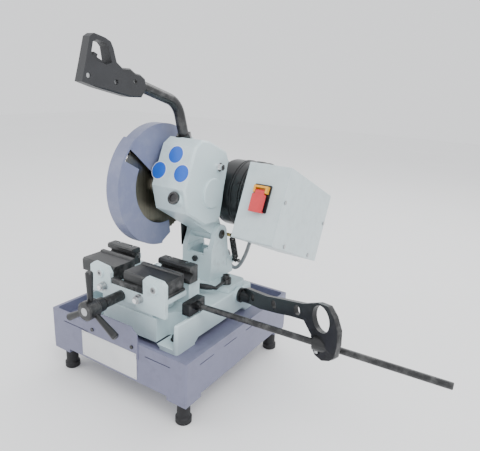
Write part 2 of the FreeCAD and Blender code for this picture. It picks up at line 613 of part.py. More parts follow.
def make_gearbox():
    """The gearbox housing with its neck and pivot boss, and the cover on its motor side."""
    split = GEARBOX_X1 - COVER_T
    block = prism_x(GEARBOX_OUTLINE, GEARBOX_X0, split)
    front = [e for e in block.Edges if not is_parallel(e, X_AXIS)
             and abs(e.Vertexes[0].X - GEARBOX_X0) < 0.01 and e.Vertexes[0].Y + e.Vertexes[1].Y < -120]
    block = block.makeChamfer(9.0, front)
    cavity = fuse([prism_x(offset_outline(GEARBOX_OUTLINE, GEARBOX_WALL), GEARBOX_X0 + 10, split + 1),
                   cyl_x(43.6, GEARBOX_X0 + 10, split + 1, OUT_C[0], OUT_C[1])])
    rear = rear_case(8.0, HOUSING_GEAR_X0, MOTOR_X0)
    rear_space = rear_case(0.0, HOUSING_GEAR_X0 + 8, MOTOR_X0 - 8)
    neck_x0 = COL_X0 + EAR_T + GAP
    neck_x1 = COL_X1 - EAR_T - GAP
    neck = prism_x([(-128, 14), (-84, 4), (-18, -6), (18, 0), (16, 12), (-46, 70), (-70, 60)], neck_x0, neck_x1)
    boss = cyl_x(17.5, neck_x0, neck_x1, 0, 0)
    pocket = prism_x([(-100, 16), (-40, 4), (-30, 14), (-52, 26)], neck_x0 - 1, neck_x0 + 9)
    spring_lug = fuse([cyl_x(8, neck_x1 - 14, neck_x1, SPRING_HEAD[0], SPRING_HEAD[1]),
                       rotated_bar(neck_x1 - 14, neck_x1, (0, 0), SPRING_HEAD, 14)])
    housing = fuse([block, neck.cut(pocket), boss, spring_lug, rear]).cut(fuse([cavity, rear_space]))
    housing = housing.cut(cyl_x(PIN_R + FIT, neck_x0 - 1, neck_x1 + 1, 0, 0))
    housing = housing.cut(cyl_x(17 + FIT, GEARBOX_X0 - 1, GEARBOX_X0 + 12, OUT_C[0], OUT_C[1]))
    housing = housing.cut(cyl_x(5 + FIT, GEARBOX_X0 + 4, GEARBOX_X0 + 12, MID_C[0], MID_C[1]))
    housing = housing.cut(cyl_x(5 + FIT, HOUSING_GEAR_X0 + 3, HOUSING_GEAR_X0 + 9, IDLER_C[0], IDLER_C[1]))
    housing = housing.cut(cyl_x(4 + FIT, HOUSING_GEAR_X0 + 3, HOUSING_GEAR_X0 + 9, ROTOR_C[0], ROTOR_C[1]))
    housing = housing.cut(cyl_x(5 + FIT, MOTOR_X0 - 9, MOTOR_X0 - 3, IDLER_C[0], IDLER_C[1]))
    housing = housing.cut(cyl_x(6 + FIT, MOTOR_X0 - 9, MOTOR_X0 + 1, ROTOR_C[0], ROTOR_C[1]))
    housing = housing.cut(cyl_x(4 + FIT, neck_x1 - 15, neck_x1 + 1, SPRING_HEAD[0], SPRING_HEAD[1]))
    seat = handle_seat()
    lean = handle_direction()
    handle_boss = Part.makeCylinder(19.0, 16.0, seat - lean * 16, lean)
    plug_boss = cyl_y(13.0, PLUG_FRONT, -150, PLUG_X, PLUG_Z)
    housing = fuse([housing.cut(Part.makeCylinder(20.0, 30.0, seat, lean)), handle_boss, plug_boss])
    housing = housing.cut(Part.makeCylinder(9.0, 9.5, seat - lean * 9.5, lean))
    housing = housing.cut(cyl_y(9.0, PLUG_FRONT - 1, PLUG_FRONT + 9, PLUG_X, PLUG_Z))
    keep_head("gearbox_housing", housing.removeSplitter())
    plate = prism_x(GEARBOX_OUTLINE, split, GEARBOX_X1)
    rim = [e for e in plate.Edges if abs(e.Vertexes[0].X - GEARBOX_X1) < 0.01 and abs(e.Vertexes[-1].X - GEARBOX_X1) < 0.01]
    plate = plate.makeChamfer(4.0, rim)
    raised = cyl_x(32, GEARBOX_X1 - 1, GEARBOX_X1 + 4, MID_C[0] - 5, MID_C[1])
    raised = raised.makeChamfer(1.5, [e for e in raised.Edges if abs(e.BoundBox.XMin - GEARBOX_X1 - 4) < 0.01])
    cover = fuse([plate, raised])
    cover = cover.cut(cyl_x(5 + FIT, split - 1, split + 5, MID_C[0], MID_C[1]))
    cover = cover.cut(cyl_x(8.0, split + 2, GEARBOX_X1 + 2, OIL_Y, OIL_Z))
    keep_head("gearbox_cover", cover)
    oil = fuse([cyl_x(8, split + 3, GEARBOX_X1, OIL_Y, OIL_Z), cyl_x(9.5, GEARBOX_X1, GEARBOX_X1 + 4, OIL_Y, OIL_Z),
                hexagon(7.0, 7.0, Vector(GEARBOX_X1 + 4, OIL_Y, OIL_Z), X_AXIS)])
    keep_head("oil_filler_plug", oil)
    plug = fuse([cyl_y(9, PLUG_FRONT - 1, PLUG_FRONT + 8, PLUG_X, PLUG_Z),
                 cyl_y(13.0, PLUG_FRONT - 5, PLUG_FRONT, PLUG_X, PLUG_Z)])
    dish = cyl_y(8.5, PLUG_FRONT - 6, PLUG_FRONT - 3, PLUG_X, PLUG_Z)
    keep_head("gearbox_front_plug", plug.cut(dish))


def rear_case(wall, x0, x1):
    """The case behind the gearbox that holds the idler and the rotor's pinion, grown by wall."""
    rings = [cyl_x(48.0 + wall, x0, x1, MID_C[0], MID_C[1]), cyl_x(40.0 + wall, x0, x1, IDLER_C[0], IDLER_C[1]),
             cyl_x(22.0 + wall, x0, x1, ROTOR_C[0], ROTOR_C[1])]
    if wall > 0:
        rings.append(cyl_x(60.0, x1 - 8, x1, ROTOR_C[0], ROTOR_C[1]))
    return fuse(rings)


def head_frame_point(y, z):
    """A point of the raised head, given on the machine, in the head's own frame."""
    a = math.radians(HEAD_TILT)
    dy = y - PIVOT_Y
    dz = z - PIVOT_Z
    return (math.cos(a) * dy - math.sin(a) * dz, math.sin(a) * dy + math.cos(a) * dz)


SPRING_HEAD = head_frame_point(SPRING_TOP_Y, SPRING_TOP_Z)


def make_shafts():
    """Blade shaft with its gear, middle shaft with two gears, and rotor with its pinion."""
    y, z = OUT_C
    cover_in = GEARBOX_X1 - COVER_T
    rotor_line = math.degrees(math.atan2(ROTOR_C[1] - IDLER_C[1], ROTOR_C[0] - IDLER_C[0]))
    pinion_tooth = meshing_tooth(TEETH_OUT, MID_ANGLE, MID_ANGLE, TEETH_MID_PINION)
    idler_tooth = meshing_tooth(TEETH_MID, IDLER_ANGLE, IDLER_ANGLE, TEETH_IDLER)
    rotor_tooth = meshing_tooth(TEETH_IDLER, idler_tooth, rotor_line, TEETH_ROTOR)
    bushing = cyl_x(17, GEARBOX_X0, -1, y, z).cut(cyl_x(12 + FIT, GEARBOX_X0 - 1, 0, y, z))
    keep_head("head_pins", bushing)
    hub_x = BLADE_X + BLADE_T / 2
    shaft = fuse([cyl_x(12, BLADE_X + 6.3, 0, y, z), cyl_x(8, -1, 18, y, z),
                  cyl_x(26, hub_x, BLADE_X + 7, y, z), cyl_x(9.95, BLADE_X - 7, hub_x + 1, y, z)])
    keep_head("blade_shaft", shaft)
    keep_head("blade_shaft", gear(TEETH_OUT, MODULE_OUT, 0, 16, OUT_C, MID_ANGLE, 8.0))
    gullet = BLADE_R - 3.0
    points = []
    for i in range(BLADE_TEETH):
        a0 = 360.0 * i / BLADE_TEETH
        points.append(polar(BLADE_R, a0))
        points.append(polar(gullet, a0 + 1.0))
    outline = [(y + p[0], z + p[1]) for p in points]
    blade = prism_x(outline, BLADE_X - BLADE_T / 2, BLADE_X + BLADE_T / 2)
    blade = blade.cut(cyl_x(10.0, BLADE_X - 5, BLADE_X + 5, y, z))
    for a in (0, 90, 180, 270):
        dy, dz = polar(22, a)
        blade = blade.cut(cyl_x(4.0, BLADE_X - 5, BLADE_X + 5, y + dy, z + dz))
    keep_head("saw_blade", blade)
    flange = cyl_x(26, BLADE_X - 7, BLADE_X - BLADE_T / 2, y, z).cut(cyl_x(10, BLADE_X - 8, BLADE_X + 1, y, z))
    keep_head("blade_flange", flange)
    screw = hexagon(11.0, 6.0, Vector(BLADE_X - 13, y, z), X_AXIS)
    keep_head("blade_flange", screw)
    y, z = MID_C
    mid = cyl_x(5, GEARBOX_X0 + 5, cover_in + 4, y, z)
    keep_head("middle_gears", mid)
    keep_head("middle_gears", gear(TEETH_MID_PINION, MODULE_OUT, -1, 17, MID_C, pinion_tooth, 5.0))
    keep_head("middle_gears", gear(TEETH_MID, MODULE_IN, 21, 31, MID_C, IDLER_ANGLE, 5.0))
    y, z = IDLER_C
    keep_head("idler_gear", cyl_x(5, HOUSING_GEAR_X0 + 4, MOTOR_X0 - 4, y, z))
    keep_head("idler_gear", gear(TEETH_IDLER, MODULE_IN, 20, 32, IDLER_C, idler_tooth, 5.0))
    y, z = ROTOR_C
    rotor = fuse([cyl_x(4, HOUSING_GEAR_X0 + 4, 33, y, z), cyl_x(6, 33, MOTOR_X0 + 12, y, z),
                  cyl_x(32, MOTOR_X0 + 12, BOX_X0 - 34, y, z), cyl_x(6, BOX_X0 - 35, BOX_X0 - 7, y, z)])
    keep_head("motor_rotor", rotor)
    keep_head("motor_rotor", gear(TEETH_ROTOR, MODULE_IN, 20, 32, ROTOR_C, rotor_tooth, 4.0))


def make_motor():
    """The motor: a finned barrel with a bored stator, a fan on the rotor and a tapered end bell."""
    y, z = ROTOR_C
    bell_x = BOX_X0 - 24
    core = cyl_x(MOTOR_R - 8, MOTOR_X0, bell_x, y, z)
    fins = []
    count = 30
    for i in range(count):
        fin = box(MOTOR_X0 + 5, bell_x - 4, -1.4, 1.4, MOTOR_R - 10, MOTOR_R)
        fin.rotate(Vector(0, 0, 0), X_AXIS, 360.0 * i / count)
        fin.translate(Vector(0, y, z))
        fins.append(fin)
    lip = cyl_x(MOTOR_R - 2, MOTOR_X0, MOTOR_X0 + 6, y, z)
    barrel = fuse([core, lip] + fins)
    bore = cyl_x(32.6, MOTOR_X0 + 10, bell_x + 1, y, z)
    barrel = barrel.cut(bore).cut(cyl_x(6 + FIT, MOTOR_X0 - 1, MOTOR_X0 + 11, y, z))
    keep_head("motor_housing", barrel)
    out_x = BOX_X0 - 4
    profile = [(bell_x, 6 + FIT), (bell_x, MOTOR_R - 1), (bell_x + 8, MOTOR_R - 1), (out_x - 3, MOTOR_R - 9),
               (out_x, MOTOR_R - 14), (out_x, 6 + FIT)]
    wire = Part.makePolygon([Vector(x, y + r, z) for x, r in profile + profile[:1]])
    bell = Part.Face(wire).revolve(Vector(bell_x, y, z), X_AXIS, 360)
    keep_head("motor_end_bell", bell.cut(cyl_x(56, bell_x - 1, out_x - 6, y, z)))
    hub = cyl_x(12, bell_x + 1, out_x - 7, y, z)
    blades = []
    for i in range(9):
        vane = box(bell_x + 2, out_x - 8, -1.2, 1.2, 10, 52)
        vane.rotate(Vector(0, 0, 0), X_AXIS, 40.0 * i)
        vane.translate(Vector(0, y, z))
        blades.append(vane)
    keep_head("motor_rotor", fuse([hub] + blades).cut(cyl_x(6, bell_x, out_x, y, z)))


def make_control_box():
    """The sheet control box, open to the right, its cover, screws, switch and lead gland."""
    x0 = BOX_X0 - 4
    x1 = BOX_X0 + BOX_W
    y1 = BOX_Y + BOX_D
    z1 = BOX_Z + BOX_H
    shell = box(x0, x1 - BOX_SHEET, BOX_Y, y1, BOX_Z, z1)
    shell = shell.makeFillet(3.0, edges_where(shell, lambda e: is_parallel(e, X_AXIS)))
    inside = box(x0 + BOX_SHEET, x1, BOX_Y + BOX_SHEET, y1 - BOX_SHEET, BOX_Z + BOX_SHEET, z1 - BOX_SHEET)
    shell = shell.cut(inside)
    hole = box(x0 + SWITCH_X - 16, x0 + SWITCH_X + 16, BOX_Y - 2, BOX_Y + 4, SWITCH_Z - 24, SWITCH_Z + 24)
    shell = shell.cut(hole).cut(cyl_x(LEAD_R + 3 + FIT, x0 - 2, x0 + 4, GLAND_Y, GLAND_Z))
    screws = []
    holes = []
    side_z = BOX_Z + 90
    low_z = BOX_Z + 8
    for sy, sz, web_y, web_z in ((BOX_Y + 9, side_z, (BOX_Y + 0.5, BOX_Y + 9), (side_z - 3, side_z + 3)),
                                 (y1 - 9, side_z, (y1 - 9, y1 - 0.5), (side_z - 3, side_z + 3)),
                                 (BOX_Y + 54, low_z, (BOX_Y + 51, BOX_Y + 57), (BOX_Z + 0.5, low_z)),
                                 (y1 - 54, low_z, (y1 - 57, y1 - 51), (BOX_Z + 0.5, low_z))):
        holes.append(cyl_x(2.1, x1 - 12, x1 + 1, sy, sz))
        screws.append(fuse([cyl_x(4.2, x1 + 0.02, x1 + 2.2, sy, sz), cyl_x(2.0, x1 - 9, x1 + 0.1, sy, sz)]))
        shell = shell.fuse(cyl_x(5.0, x1 - 11, x1 - BOX_SHEET, sy, sz))
        shell = shell.fuse(box(x1 - 11, x1 - BOX_SHEET, web_y[0], web_y[1], web_z[0], web_z[1]))
    cover = box(x1 - BOX_SHEET, x1, BOX_Y + 0.4, y1 - 0.4, BOX_Z + 0.4, z1 - 0.4)
    group = Part.makeCompound(holes)
    keep_head("control_box", shell.cut(group))
    keep_head("control_box_cover", cover.cut(group))
    keep_head("head_screws", *screws)
    sx = x0 + SWITCH_X
    yf = BOX_Y
    frame = box(sx - 19, sx + 19, yf - 3, yf, SWITCH_Z - 28, SWITCH_Z + 28)
    frame = frame.makeFillet(2.5, edges_where(frame, lambda e: is_parallel(e, Y_AXIS)))
    body = box(sx - 15.5, sx + 15.5, yf - 3, yf + 26, SWITCH_Z - 23.5, SWITCH_Z + 23.5)
    housing = frame.fuse(body)
    for dz in BUTTON_DZ:
        housing = housing.cut(box(sx - 7.3, sx + 7.3, yf - 9, yf + 12, SWITCH_Z + dz - 6.3, SWITCH_Z + dz + 6.3))
    bridge = box(sx - 15.5, sx + 15.5, yf - 13, yf - 3, SWITCH_Z + 9, SWITCH_Z + 24)
    bridge = bridge.makeFillet(2.0, edges_where(bridge, lambda e: is_parallel(e, X_AXIS) and e.Vertexes[0].Y < yf - 5))
    hinge_slot = box(sx - 11.3, sx + 11.3, yf - 14, yf - 3.5, SWITCH_Z + 6, SWITCH_Z + 19.5)
    keep_head("switch_housing", housing)
    pin = cyl_x(1.2, sx - 14, sx + 14, yf - 8, SWITCH_Z + 14)
    pin_bore = cyl_x(1.2, sx - 14, sx + 14, yf - 8, SWITCH_Z + 14)
    keep_head("switch_bridge", bridge.cut(hinge_slot).cut(pin_bore))
    keep_head("switch_bridge", pin)
    for name, dz in zip(("start_button", "stop_button"), BUTTON_DZ):
        button = box(sx - 7, sx + 7, yf - 5, yf + 6, SWITCH_Z + dz - 6, SWITCH_Z + dz + 6)
        button = button.makeFillet(1.2, edges_where(button, lambda e: is_parallel(e, Y_AXIS)))
        keep_head(name, button)
    flap = box(sx - 15, sx + 15, yf - 13.5, yf - 9.5, SWITCH_Z - 27, SWITCH_Z + 6.5)
    flap = flap.makeFillet(2.0, edges_where(flap, lambda e: is_parallel(e, Y_AXIS)))
    curl = box(sx - 15, sx + 15, yf - 13.5, yf - 6, SWITCH_Z - 30, SWITCH_Z - 27)
    neck = box(sx - 10.5, sx + 10.5, yf - 12, yf - 7.5, SWITCH_Z + 5, SWITCH_Z + 14)
    eye = cyl_x(2.6, sx - 10.5, sx + 10.5, yf - 8, SWITCH_Z + 14)
    flap = fuse([flap, curl, neck, eye]).cut(cyl_x(1.2 + FIT, sx - 12, sx + 12, yf - 8, SWITCH_Z + 14))
    keep_head("stop_flap", flap)
    gland = fuse([cyl_x(LEAD_R + 3, x0 - 14, x0 + 6, GLAND_Y, GLAND_Z),
                  cyl_x(LEAD_R + 5.5, x0 - 6, x0 - 0.02, GLAND_Y, GLAND_Z)])
    keep_head("box_gland", gland.cut(cyl_x(LEAD_R, x0 - 12, x0 + 7, GLAND_Y, GLAND_Z)))


def guard_sector(r_out, x0, x1, sheet, start, end):
    """A drum-shaped guard: two cheeks and a rim, swept from start to end degrees."""
    y, z = OUT_C
    drum = cyl_x(r_out, x0, x1, y, z).cut(cyl_x(r_out - sheet, x0 + sheet, x1 - sheet, y, z))
    keep_angles = []
    span = end - start
    pieces = int(math.ceil(span / 80.0))
    reach = r_out * 1.6
    for i in range(pieces):
        a0 = start + span * i / pieces
        a1 = start + span * (i + 1) / pieces
        p0 = polar(reach, a0)
        p1 = polar(reach, a1)
        mid = polar(reach * 1.2, (a0 + a1) / 2)
        keep_angles.append(prism_x([(y, z), (y + p0[0], z + p0[1]), (y + mid[0], z + mid[1]),
                                    (y + p1[0], z + p1[1])], x0 - 1, x1 + 1))
    wedge = fuse(keep_angles)
    return drum.common(wedge)


def make_guards():
    """The fixed upper guard, and the lower guard that turns about the blade's axis."""
    y, z = OUT_C
    fixed = guard_sector(FIXED_GUARD_R, -52, -24.6, GUARD_SHEET, FIXED_START, FIXED_END)
    hub_hole = cyl_x(31, -30, -20, y, z)
    left_hole = cyl_x(18, -60, -48, y, z)
    bracket = []
    for a in (40, 100):
        dy, dz = polar(46, a)
        bracket.append(cyl_x(6, -24.61, GEARBOX_X0, y + dy, z + dz))
    fixed = fixed.cut(hub_hole).cut(left_hole)
    fixed = fuse([fixed] + bracket)
    keep_head("upper_guard", fixed)
    moving = guard_sector(MOVING_GUARD_R, -54, -22, GUARD_SHEET, MOVING_START, MOVING_END)
    moving = moving.cut(cyl_x(84, -26, -20, y, z)).cut(cyl_x(17.9, -60, -50, y, z))
    tongue_rim = guard_sector(MOVING_GUARD_R, -54, -22, GUARD_SHEET, 152, MOVING_START + 0.5)
    tongue_rim = tongue_rim.cut(cyl_x(MOVING_GUARD_R - 4.5, -60, -10, y, z))
    hub = cyl_x(24, -54, -54 + GUARD_SHEET, y, z)
    moving = fuse([moving, tongue_rim, hub]).cut(cyl_x(12 + FIT, -60, -50, y, z))
    corner = prism_x([(y + 50, z - 140), (y + 140, z - 140), (y + 140, z - 60), (y + 70, z - 86),
                      (y + 46, z - 118)], -60, -10)
    keep_head("lower_guard", moving.cut(corner))
    pivot = fuse([cyl_x(12, -56, -50.6, y, z), cyl_x(15, -58, -56, y, z)])
    keep_head("head_pins", pivot)


def handle_seat():
    """The point of the gearbox on which the handle's nut sits."""
    return Vector(HANDLE_X, HANDLE_Y, HANDLE_Z)


def handle_direction():
    """The forward-leaning direction of the handle tube as it leaves the nut."""
    a = math.radians(HANDLE_LEAN)
    return Vector(0, -math.sin(a), math.cos(a))


def grip_direction():
    """The direction of the tube's straight end inside the grip, pointing to the operator."""
    a = math.radians(HANDLE_DROP)
    return Vector(0, -math.cos(a), -math.sin(a))


def make_handle():
    """The bent handle tube with its nut, the two halves of the grip and the trigger."""
    seat = handle_seat()
    lean = handle_direction()
    along = grip_direction()
    corner = seat + lean * HANDLE_RISE
    half_turn = lean.getAngle(along) / 2
    cut = HANDLE_BEND * math.tan(half_turn)
    first = seat + lean * 3.0
    arc_start = corner - lean * cut
    arc_end = corner + along * cut
    tip = corner + along * HANDLE_REACH
    inward = (along - lean).normalize()
    arc_mid = corner + inward * (HANDLE_BEND / math.cos(half_turn) - HANDLE_BEND)
    path = Part.Wire([Part.LineSegment(first, arc_start).toShape(),
                      Part.Arc(arc_start, arc_mid, arc_end).toShape(),
                      Part.LineSegment(arc_end, tip).toShape()])
    outer, bore = [path.makePipeShell([Part.Wire(Part.makeCircle(r, first, lean))], True, False)
                   for r in (TUBE_R, TUBE_BORE_R)]
    pin_y, pin_z = GRIP_SCREWS[0]
    tube = outer.cut(bore).cut(cyl_x(2.0, HANDLE_X - 15, HANDLE_X + 15, pin_y, pin_z))
    tube = tube.cut(cyl_x(4.2, HANDLE_X, HANDLE_X + 15, pin_y, pin_z))
    keep_head("handle_tube", tube)
    nut = fuse([hexagon(16.5, 13.0, seat + lean * 0.02, lean), Part.makeCylinder(9.0, 10.0, seat - lean * 9, lean)])
    nut = nut.cut(Part.makeCylinder(TUBE_R, 20.0, first, lean)).cut(Part.makeCylinder(7.0, 30.0, seat - lean * 10, lean))
    keep_head("handle_nut", nut)
    grip_parts(tip, along)


def grip_outline():
    """The grip from the side: flat underneath, finger waves on top, a guard loop in front."""
    return [(-431, 164), (-435, 198), (-440, 235), (-434, 243), (-412, 247), (-400, 247), (-391, 240), (-377, 223),
            (-363, 220), (-346, 227), (-332, 225), (-320, 228), (-306, 226), (-297, 211), (-302, 193),
            (-329, 182), (-399, 168)]


def grip_window():
    """The finger opening inside the loop, in front of the trigger."""
    return [(-429, 211), (-432, 230), (-427, 236), (-410, 240), (-402, 237), (-388, 217), (-396, 209), (-414, 206)]


def grip_parts(tip, along):
    """The two halves of the grip, their screws, and the trigger in its slot."""
    xm = HANDLE_X
    hole_tube = Part.makeCylinder(TUBE_R + 0.02, 80.0, tip, along * -1)
    slot = box(xm - 5.3, xm + 5.3, -424, -398, 186, 214)
    for name, x0, x1 in (("grip_shell_left", xm - GRIP_HALF, xm), ("grip_shell_right", xm, xm + GRIP_HALF)):
        body = prism_x(grip_outline(), x0, x1)
        outer_x = x0 if x0 < xm else x1
        rim = [e for e in body.Edges if abs(e.Vertexes[0].X - outer_x) < 0.01 and abs(e.Vertexes[-1].X - outer_x) < 0.01]
        body = body.makeChamfer(2.5, rim)
        side = -1 if x0 < xm else 1
        thin = side * (GRIP_HALF - GRIP_TAPER)
        body = body.cut(prism_z([(xm + side * GRIP_HALF, -385), (xm + thin, -442), (xm + side * 20, -442),
                                 (xm + side * 20, -385)], 150, 260))
        body = body.cut(prism_x(grip_window(), x0 - 1, x1 + 1)).cut(hole_tube).cut(slot)
        for y, z in GRIP_SCREWS:
            body = body.cut(cyl_x(2.0, xm - GRIP_HALF - 1, xm + GRIP_HALF + 1, y, z))
            body = body.cut(cyl_x(4.2, xm + GRIP_HALF - 6.5, xm + GRIP_HALF + 1, y, z))
        keep_head(name, body)
    screws = []
    for y, z in GRIP_SCREWS:
        screws.append(fuse([cyl_x(3.9, xm + GRIP_HALF - 6.5, xm + GRIP_HALF - 4, y, z),
                            cyl_x(1.95, xm - GRIP_HALF + 5, xm + GRIP_HALF - 6.4, y, z)]))
    keep_head("head_screws", *screws)
    trigger = fuse([box(xm - 5, xm + 5, -422, -400, 196, 213), box(xm - 5, xm + 5, -422, -414, 212, 218)])
    keep_head("trigger", trigger)


def make_vise():
    """Fixed bed with the rear V jaws; moving casting with front jaws, guide rods, screw and wheel."""
    bed_y0 = REAR_JAW_Y + 2
    bed_y1 = BED_BACK
    left = box(JAW_LEFT + 8, REAR_GAP_X0, bed_y0, bed_y1, BASE_TOP + 1, 228)
    right = box(REAR_GAP_X1, JAW_RIGHT - 4, bed_y0, bed_y1, BASE_TOP + 1, 228)
    bridge = box(REAR_GAP_X0 - 5, REAR_GAP_X1 + 5, bed_y0, bed_y1, BASE_TOP + 1, 210)
    pads = [box(-126, -102, bed_y0, -46, BASE_TOP, BASE_TOP + 2), box(56, 84, bed_y0, bed_y1, BASE_TOP, BASE_TOP + 2)]
    bed = fuse([left, right, bridge] + pads)
    scoops = [box(-130, REAR_GAP_X0 - 10, -46, bed_y1 + 1, BASE_TOP, 200),
              box(48, JAW_RIGHT - 16, -42, bed_y1 + 1, BASE_TOP + 10, 200),
              box(JAW_LEFT + 7, -130, bed_y0 - 1, bed_y1 + 1, BASE_TOP, 206)]
    for scoop in scoops:
        bed = bed.cut(scoop)
    for dx in (-ROD_SPREAD, ROD_SPREAD):
        bed = bed.cut(cyl_y(ROD_R + FIT, bed_y0 - 1, bed_y1 + 1, VISE_X + dx, ROD_Z))
    bed = bed.cut(cyl_y(SCREW_R + FIT, bed_y0 - 1, bed_y1 + 1, VISE_X, SCREW_Z))
    keep("vise_bed", bed)
    jaw_profile = [(REAR_JAW_Y, 228.02), (REAR_JAW_Y, 238), (REAR_JAW_Y + 11, 247), (REAR_JAW_Y, 256),
                   (REAR_JAW_Y, JAW_TOP - 3), (REAR_JAW_Y + 3, JAW_TOP), (REAR_JAW_Y + 24, JAW_TOP),
                   (REAR_JAW_Y + 26, JAW_TOP - 3), (REAR_JAW_Y + 26, 228.02)]
    screws = []
    for x0, x1, xs in ((JAW_LEFT, REAR_GAP_X0, (-132, -94)), (REAR_GAP_X1, JAW_RIGHT, (20, 66))):
        jaw = prism_x(jaw_profile, x0, x1)
        for x in xs:
            y = REAR_JAW_Y + 19
            jaw = jaw.cut(cyl_z(3.1, 227, JAW_TOP + 1, x, y)).cut(cyl_z(5.5, JAW_TOP - 6, JAW_TOP + 1, x, y))
            cut_node("vise_bed", cyl_z(3.05, 216, 229, x, y))
            screws.append(socket_screw(3.0, 42, 5.0, 5.0, Vector(x, y, JAW_TOP - 6), Z_AXIS))
        keep("rear_jaws", jaw)
    keep("rear_jaw_screws", *screws)
    wing_x = REAR_GAP_X0 + 0.02
    wing = fuse([cyl_x(2.5, wing_x, wing_x + 9, REAR_JAW_Y + 13, 252),
                 box(wing_x + 8, wing_x + 13, REAR_JAW_Y + 11.5, REAR_JAW_Y + 14.5, 246, 258)])
    keep("rear_jaw_screws", wing)

    z0 = BASE_TOP + 1.5
    lug_back = BASE_FRONT + LUG_T
    wall = prism_y([(-106, 196), (20, 196), (28, 188), (98, 188), (98, 224), (-106, 224)], BASE_FRONT, lug_back)
    lug_l = prism_y([(-106, 223), (-48, 223), (-48, 246), (-56, 257), (-94, 261), (-106, 252)], BASE_FRONT, lug_back)
    lug_r = prism_y([(42, 223), (98, 223), (98, 256), (90, 263), (52, 265), (42, 255)], BASE_FRONT, lug_back)
    slide = box(-100, 92, BASE_FRONT + 4, FRONT_JAW_Y + 4, 196, 222)
    for_bar = box(-76, 62, BASE_FRONT + 4, FRONT_JAW_Y, z0, 197)
    casting = fuse([wall, lug_l, lug_r, slide, for_bar])
    for x0, x1, z_low in ((BLADE_GAP_X0, BLADE_GAP_X1 - 8, 209), (BLADE_GAP_X0, BLADE_GAP_X1 + 2, 217)):
        casting = casting.cut(box(x0, x1, lug_back + 6, FRONT_JAW_Y + 5, z_low, 223))
    for x0, x1 in ((-101, -72), (58, 93)):
        casting = casting.cut(box(x0, x1, lug_back, FRONT_JAW_Y + 5, 195, 212))
    tunnel = box(VISE_X - 9, VISE_X + 14, lug_back + 8, FRONT_JAW_Y + 1, z0 - 1, SCREW_Z)
    bosses = [cyl_y(10, BASE_FRONT - 3, BASE_FRONT + 1, x, z) for x, z in LUG_BOSSES]
    casting = fuse([casting.cut(tunnel)] + bosses)
    for x, z in LUG_BOSSES:
        casting = casting.cut(cyl_y(4.2, BASE_FRONT - 4, lug_back + 1, x, z))
        casting = casting.cut(cyl_y(6.6, BASE_FRONT - 4, BASE_FRONT + 3, x, z))
    for dx in (-ROD_SPREAD, ROD_SPREAD):
        casting = casting.cut(cyl_y(ROD_R, BASE_FRONT - 1, FRONT_JAW_Y + 9, VISE_X + dx, ROD_Z))
    casting = casting.cut(cyl_y(SCREW_R + FIT, BASE_FRONT - 1, FRONT_JAW_Y + 9, VISE_X, SCREW_Z))
    keep("vise_slide_casting", casting.removeSplitter())
    rib_back = BASE_FRONT + 8
    rib = box(-47.9, 41.9, BASE_FRONT + 2, rib_back, 224.02, 236)
    tongue = box(-47.9, 41.9, rib_back, lug_back + 1, 224.02, 229)
    plate = box(-100, 92, lug_back + 0.05, FRONT_JAW_Y, 224.02, 229)
    blade_gap = box(BLADE_GAP_X0, BLADE_GAP_X1 + 2, rib_back, FRONT_JAW_Y + 1, 223, 230)
    keep("vise_top_block", fuse([rib, tongue, plate]).cut(blade_gap))
    jaw_z = 229.02
    jaw_back = lug_back + 0.05
    front_profile = [(jaw_back, jaw_z), (jaw_back, 252), (jaw_back + 3, 256), (FRONT_JAW_Y - 10, 256),
                     (FRONT_JAW_Y - 8, 259), (FRONT_JAW_Y, 259), (FRONT_JAW_Y, jaw_z)]
    screws = []
    for x0, x1, boss_xz in ((FRONT_JAW_LEFT, BLADE_GAP_X0, LUG_BOSSES[0]), (BLADE_GAP_X1, JAW_RIGHT, LUG_BOSSES[1])):
        jaw = prism_x(front_profile, x0, x1)
        x, z = boss_xz
        jaw = jaw.cut(cyl_y(4.05, lug_back - 1, lug_back + 26, x, z))
        keep("front_jaws", jaw)
        screws.append(socket_screw(4.0, LUG_T + 20, 6.5, 6.0, Vector(x, BASE_FRONT + 3, z), Vector(0, -1, 0)))
    keep("vise_slide_screws", *screws)
    rods = []
    nuts = []
    for dx in (-ROD_SPREAD, ROD_SPREAD):
        x = VISE_X + dx
        rods.append(cyl_y(ROD_R, BASE_FRONT - 15, ROD_BACK, x, ROD_Z))
        collar = fuse([cyl_y(9.5, BASE_FRONT - 4, BASE_FRONT - 0.05, x, ROD_Z), cyl_y(8.0, BASE_FRONT - 11, BASE_FRONT - 3, x, ROD_Z)])
        nuts.append(collar.cut(cyl_y(ROD_R, BASE_FRONT - 12, BASE_FRONT, x, ROD_Z)))
    keep("guide_rods", *rods)
    keep("vise_slide_screws", *nuts)
    make_vise_screw()


